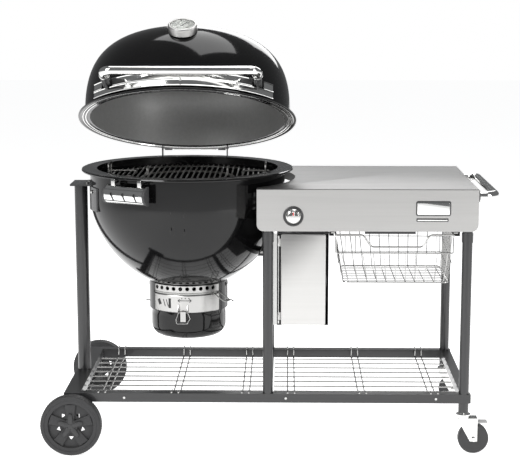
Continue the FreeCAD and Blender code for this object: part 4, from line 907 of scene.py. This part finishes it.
def table_sheet():
    """Worktop with its folded skirt, and a turned-down edge where it is cut round the kettle."""
    low, high = span("table_top")
    piece = block((low.x, low.y, high.z - 2.6), (high.x, high.y, high.z), 1.2, 3)
    skirt = block((low.x, low.y + 60, high.z - 50), (high.x, high.y, high.z - 2), 1.2, 2)
    hollow = block((low.x + 1.6, low.y - 20, high.z - 80), (high.x - 1.6, high.y - 1.6, high.z - 1),
                   0.4, 1)
    skirt = cut_by(skirt, [hollow])
    cut_r, edge_in, edge_out = 373, 374.5, 376
    edge = turned([(edge_in, high.z - 30), (edge_out, high.z - 30),
                   (edge_out, high.z - 1), (edge_in, high.z - 1)], 128)
    edge = placed(edge, KETTLE)
    beyond = 900
    far = [block((low.x - beyond, low.y - 200, 500), (low.x + 1.5, high.y + 200, 1200), 1, 1),
           block((low.x - beyond, low.y - 300, 500), (high.x + beyond, low.y + 50, 1200), 1, 1),
           block((low.x - beyond, high.y - 1.5, 500), (high.x + beyond, high.y + 300, 1200), 1, 1)]
    edge = cut_by(edge, far)
    centre = KETTLE.translation
    round_cut = bar((centre.x, centre.y, 700), (centre.x, centre.y, 1100), cut_r, 160)
    piece = cut_by(piece, [twin(round_cut, Matrix())])
    skirt = cut_by(skirt, [round_cut])
    finished(joined([piece, skirt, edge]), "table_sheet", "cart", "table_steel", ["table_top"], 30)


def side_bar():
    """Bent tube handle on two black cups, at the table's end."""
    tube_r, bend, cup_r = 16, 38, 21
    low, high = span("side_handle")
    x = high.x - tube_r
    z = middle("side_handle").z
    y0, y1 = low.y + cup_r, high.y - cup_r
    tube = wire([(low.x + 8, y0, z), (x, y0, z), (x, y1, z), (low.x + 8, y1, z)], tube_r, bend, 24,
                steps=10)
    finished(tube, "side_handle_tube", "cart", "polished_steel", ["side_handle"])
    ends = []
    for y in (y0, y1):
        cup = turned([(0, 0), (cup_r, 0), (cup_r, 5), (19, 11), (17, 12), (0, 12)], 40, closed=False)
        spot = Matrix.Translation((low.x, y, z))
        ends.append(placed(cup, spot @ Matrix.Rotation(math.pi / 2, 4, "Y")))
    finished(joined(ends), "side_handle_cups", "cart", "black_plastic")


# ------------------------------------------------------------ box and basket


def door():
    """Pan-shaped door sheet with the two hinge tubes that turn on the box's pins."""
    low, high = span("box_door")
    x0 = low.x + 12
    sheet = slab(rounded_outline((x0, low.z), (high.x, high.z), 5, low.y), (0, 6, 0))
    hollow = block((x0 + 1.5, low.y + 1.5, low.z + 1.5), (high.x - 1.5, low.y + 20, high.z - 1.5), 0.3, 1)
    sheet = softened(cut_by(sheet, [hollow]), 0.8, 2)
    tubes = []
    pin_x, long = 35, 26
    for z in (452, 700):
        tubes.append(bar(at(pin_x, 1, z), at(pin_x, 1, z + long), 3.4))
        tubes.append(block(at(pin_x, 0.2, z), at(pin_x + 7, 1.8, z + long), 0.4, 1))
    finished(joined([sheet] + tubes), "door_sheet", "box_door", "brushed_steel", ["box_door"], 30)


def wire_basket():
    """Chromed wire basket: thick frames with close cross wires, hung by a dipped front wire."""
    x0, x1, f0, f1 = 224.0, 610.0, 250.0, 597.0     # sides at the top and at the foot
    y0, y1 = 10.0, 318.0
    low, mid, high = 574.0, 677.0, 738.0            # foot, front edge and top rail
    near, far, base = y0 + 12, y1 - 12, low + 3
    thin, thick = 1.5, 2.6
    lip = [at(x0 + 4, y0, mid), at(x1 - 4, y0, mid), at(x1 - 4, y0 + 1, mid), at(x1, y0 + 6, mid)]
    wires = [wire(lip, thick, 0.4)]
    rail = [at(x0, y0, mid), at(x0, y0, high), at(x0, y1, high),
            at(x1, y1, high), at(x1, y0, high), at(x1, y0, mid)]
    wires.append(wire(rail, thick, 8))
    foot = [at(f0, near, base), at(f1, near, base), at(f1, far, base), at(f0, far, base)]
    wires.append(wire(foot, thick, 14, closed=True))
    for i in range(11):
        x = 242 + 35 * i if i < 10 else 592
        foot_x = f0 + (f1 - f0) * (x - x0) / (x1 - x0)
        path = [at(x, y0, mid), at(foot_x, near, base), at(foot_x, far, base), at(x, y1, high)]
        wires.append(wire(path, thin, 6, 6, steps=3))
    for i in range(1, 10):
        y = near + (far - near) * i / 10
        path = [at(x0, y, high), at(f0, y, base), at(f1, y, base), at(x1, y, high)]
        wires.append(wire(path, thin, 6, 6, steps=3))
    for t in (0.33, 0.66):
        zs = low + (high - low) * t
        left = x0 + (f0 - x0) * (1 - t)
        right = x1 - (x1 - f1) * (1 - t)
        front_z = low + (mid - low) * t
        back_y = far + (y1 - far) * t
        path = [at(left, y0 + 6, front_z), at(left, back_y, zs), at(right, back_y, zs),
                at(right, y0 + 6, front_z)]
        wires.append(wire(path, thin, 6, 6, steps=3))
    finished(joined(wires), "basket_wires", "basket", "wire_plated", ["basket"])
    dip = [at(x0, y0, high), at(313, y0, high), at(340, y0, 697),
           at(508, y0, 697), at(533, y0, high), at(x1, y0, high)]
    hang = [wire(dip, 3, 10, 12, steps=6)]
    for x in (254, 288, 565, 598):
        hang.append(wire([at(x, y0, mid), at(x, y0, high)], 1.5, 0, 6))
    for x in (x0, x1):
        s = -1 if x == x0 else 1
        near_x, far_x = sorted((x + s * 3, x + s * 17))
        hang.append(block(at(near_x, 30, 738), at(far_x, 310, 744), 0.8, 1))
    finished(joined(hang), "basket_front_wire", "basket", "wire_plated", ["basket_hanger"])


# ------------------------------------------------------------ running gear


def tread_wheel(name, body, out, node):
    """Moulded wheel: lugged tyre, five broad spokes with pockets between them, and a star cap."""
    r, half, lugs, spokes = 102.0, 20, 76, 5
    low, high = span(node)
    tyre = [(r - 4, -half), (r - 1, -18), (r - 1, 16), (r - 4, 19.5), (r - 13, half), (r - 14, 18),
            (r - 26, 17), (r - 27, 12), (r - 27, -half)]
    parts = [turned(tyre, 96)]
    lug = block((r - 4, -1.3, -17), (r, 1.3, 15), 0.5, 1)
    choose(lug)
    edit()
    bpy.ops.mesh.select_all(action="SELECT")
    bpy.ops.mesh.spin(steps=lugs, angle=2 * math.pi, center=(0, 0, 0), axis=(0, 0, 1), dupli=True)
    leave()
    parts.append(lug)
    dish = turned([(16, 2), (r - 26, 2), (r - 26, 7), (16, 7)], 96)
    holes = []
    for i in range(spokes):
        turn = Matrix.Rotation(math.radians(54 + 72 * i), 4, "Z")
        tri = slab([(38, -9, -5), (38, 9, -5), (50, 0, -5)], (0, 0, 20))
        holes.append(placed(tri, turn))
    parts.append(cut_by(dish, holes))
    spoke = slab([(12, -12, 5), (64, -17, 5), (74, -20, 5), (74, 20, 5), (64, 17, 5), (12, 12, 5)], (0, 0, 9))
    softened(spoke, 2.5, 3)
    for i in range(spokes):
        parts.append(twin(spoke, Matrix.Rotation(math.radians(90 + 72 * i), 4, "Z")))
    bpy.data.objects.remove(spoke)
    parts.append(turned([(7, -20), (24, -20), (24, 15), (22, 17), (7, 17)], 48))
    turn = Matrix.Rotation(math.pi / 2 if out < 0 else -math.pi / 2, 4, "X")
    centre = Vector((middle(node).x, high.y - half if out > 0 else low.y + half, r))
    spot = Matrix.Translation(centre) @ turn
    finished(placed(joined(parts), spot), name, body, "tyre_black", [node], 30)
    prong = slab([(0, -8, 17), (36, -7, 17), (42, -3, 17), (42, 3, 17), (36, 7, 17), (0, 8, 17)], (0, 0, 2.6))
    softened(prong, 1.2, 2)
    cap = [twin(prong, Matrix.Rotation(math.radians(90 + 72 * i), 4, "Z")) for i in range(spokes)]
    bpy.data.objects.remove(prong)
    cap.append(turned([(0, 20), (8, 20), (9, 19.5), (13, 19.5), (15, 17), (0, 17)], 40, closed=False))
    finished(placed(joined(cap), spot), name + "_cap", body, "black_plastic")


# ------------------------------------------------------------ the whole grill

kettle()
neck_trim()
ash_pot()
tool_hooks()
lid()
lid_bar()
ticked_dial()
front_board()
knob()
table_sheet()
side_bar()
door()
wire_basket()
tread_wheel("front_tread_wheel", "front_wheel", -1, "front_wheel")
tread_wheel("back_tread_wheel", "back_wheel", 1, "back_wheel")

for row in frame["record"]["subparts"]:
    if row["node"] in frame["nodes"]:
        dress(row["node"], row["material_slot"])

# ------------------------------------------------------------ studio


def softbox(name, spot, aim, size, power, tint=(1, 1, 1)):
    light = bpy.data.lights.new(name, "AREA")
    light.shape = "RECTANGLE"
    light.size, light.size_y = size
    light.energy = power
    light.color = tint
    lamp = bpy.data.objects.new(name, light)
    lamp.location = spot
    lamp.rotation_euler = (Vector(aim) - Vector(spot)).to_track_quat("-Z", "Y").to_euler()
    bpy.context.scene.collection.objects.link(lamp)
    return lamp


def studio():
    """White surroundings for the camera only, four soft lights, the floor and the camera."""
    scene = bpy.context.scene
    scene.view_settings.view_transform = "Standard"
    world = bpy.data.worlds.new("studio")
    scene.world = world
    world.use_nodes = True
    tree = world.node_tree
    tree.nodes["Background"].inputs["Color"].default_value = (0.55, 0.56, 0.57, 1)
    tree.nodes["Background"].inputs["Strength"].default_value = 0.3
    bright = add_node(tree, "ShaderNodeBackground", [("Color", (1, 1, 1, 1)), ("Strength", 1.0)])
    rays = add_node(tree, "ShaderNodeLightPath")
    mix = add_node(tree, "ShaderNodeMixShader", [("Fac", rays.outputs["Is Camera Ray"]),
                                                (1, tree.nodes["Background"].outputs[0]),
                                                (2, bright.outputs[0])])
    tree.links.new(mix.outputs[0], tree.nodes["World Output"].inputs["Surface"])
    things = [softbox("key", (-2.6, -3.0, 2.9), (0, 0, 0.7), (1.6, 2.2), 130),
              softbox("fill", (3.2, -2.8, 1.8), (0.1, 0, 0.6), (1.4, 2.4), 60),
              softbox("top", (0.2, 0.2, 3.6), (0, 0, 0.6), (2.6, 2.0), 70),
              softbox("back", (0.5, 3.2, 2.6), (0, 0, 0.7), (2.6, 1.6), 50)]
    bpy.ops.mesh.primitive_plane_add(size=40, location=(0, 0, 0))
    floor = bpy.context.object
    floor.name = "studio_floor"
    pale = bpy.data.materials.new("studio_floor")
    pale.use_nodes = True
    inputs = pale.node_tree.nodes["Principled BSDF"].inputs
    inputs["Base Color"].default_value = (0.92, 0.92, 0.92, 1)
    inputs["Roughness"].default_value = 0.7
    inputs["Emission Color"].default_value = (1, 1, 1, 1)
    inputs["Emission Strength"].default_value = 0.82
    floor.data.materials.append(pale)
    camera = bpy.data.objects.new("camera", bpy.data.cameras.new("camera"))
    camera.data.lens = 98.13
    camera.data.sensor_width = 36
    camera.data.shift_x = -0.00366
    camera.location = (0.05302, -4.91009, 1.52496)
    down, aside = 9.7366, 0.965       # degrees
    camera.rotation_euler = (math.radians(90 - down), 0, math.radians(aside))
    scene.collection.objects.link(camera)
    scene.camera = camera


studio()
bpy.context.view_layer.update()
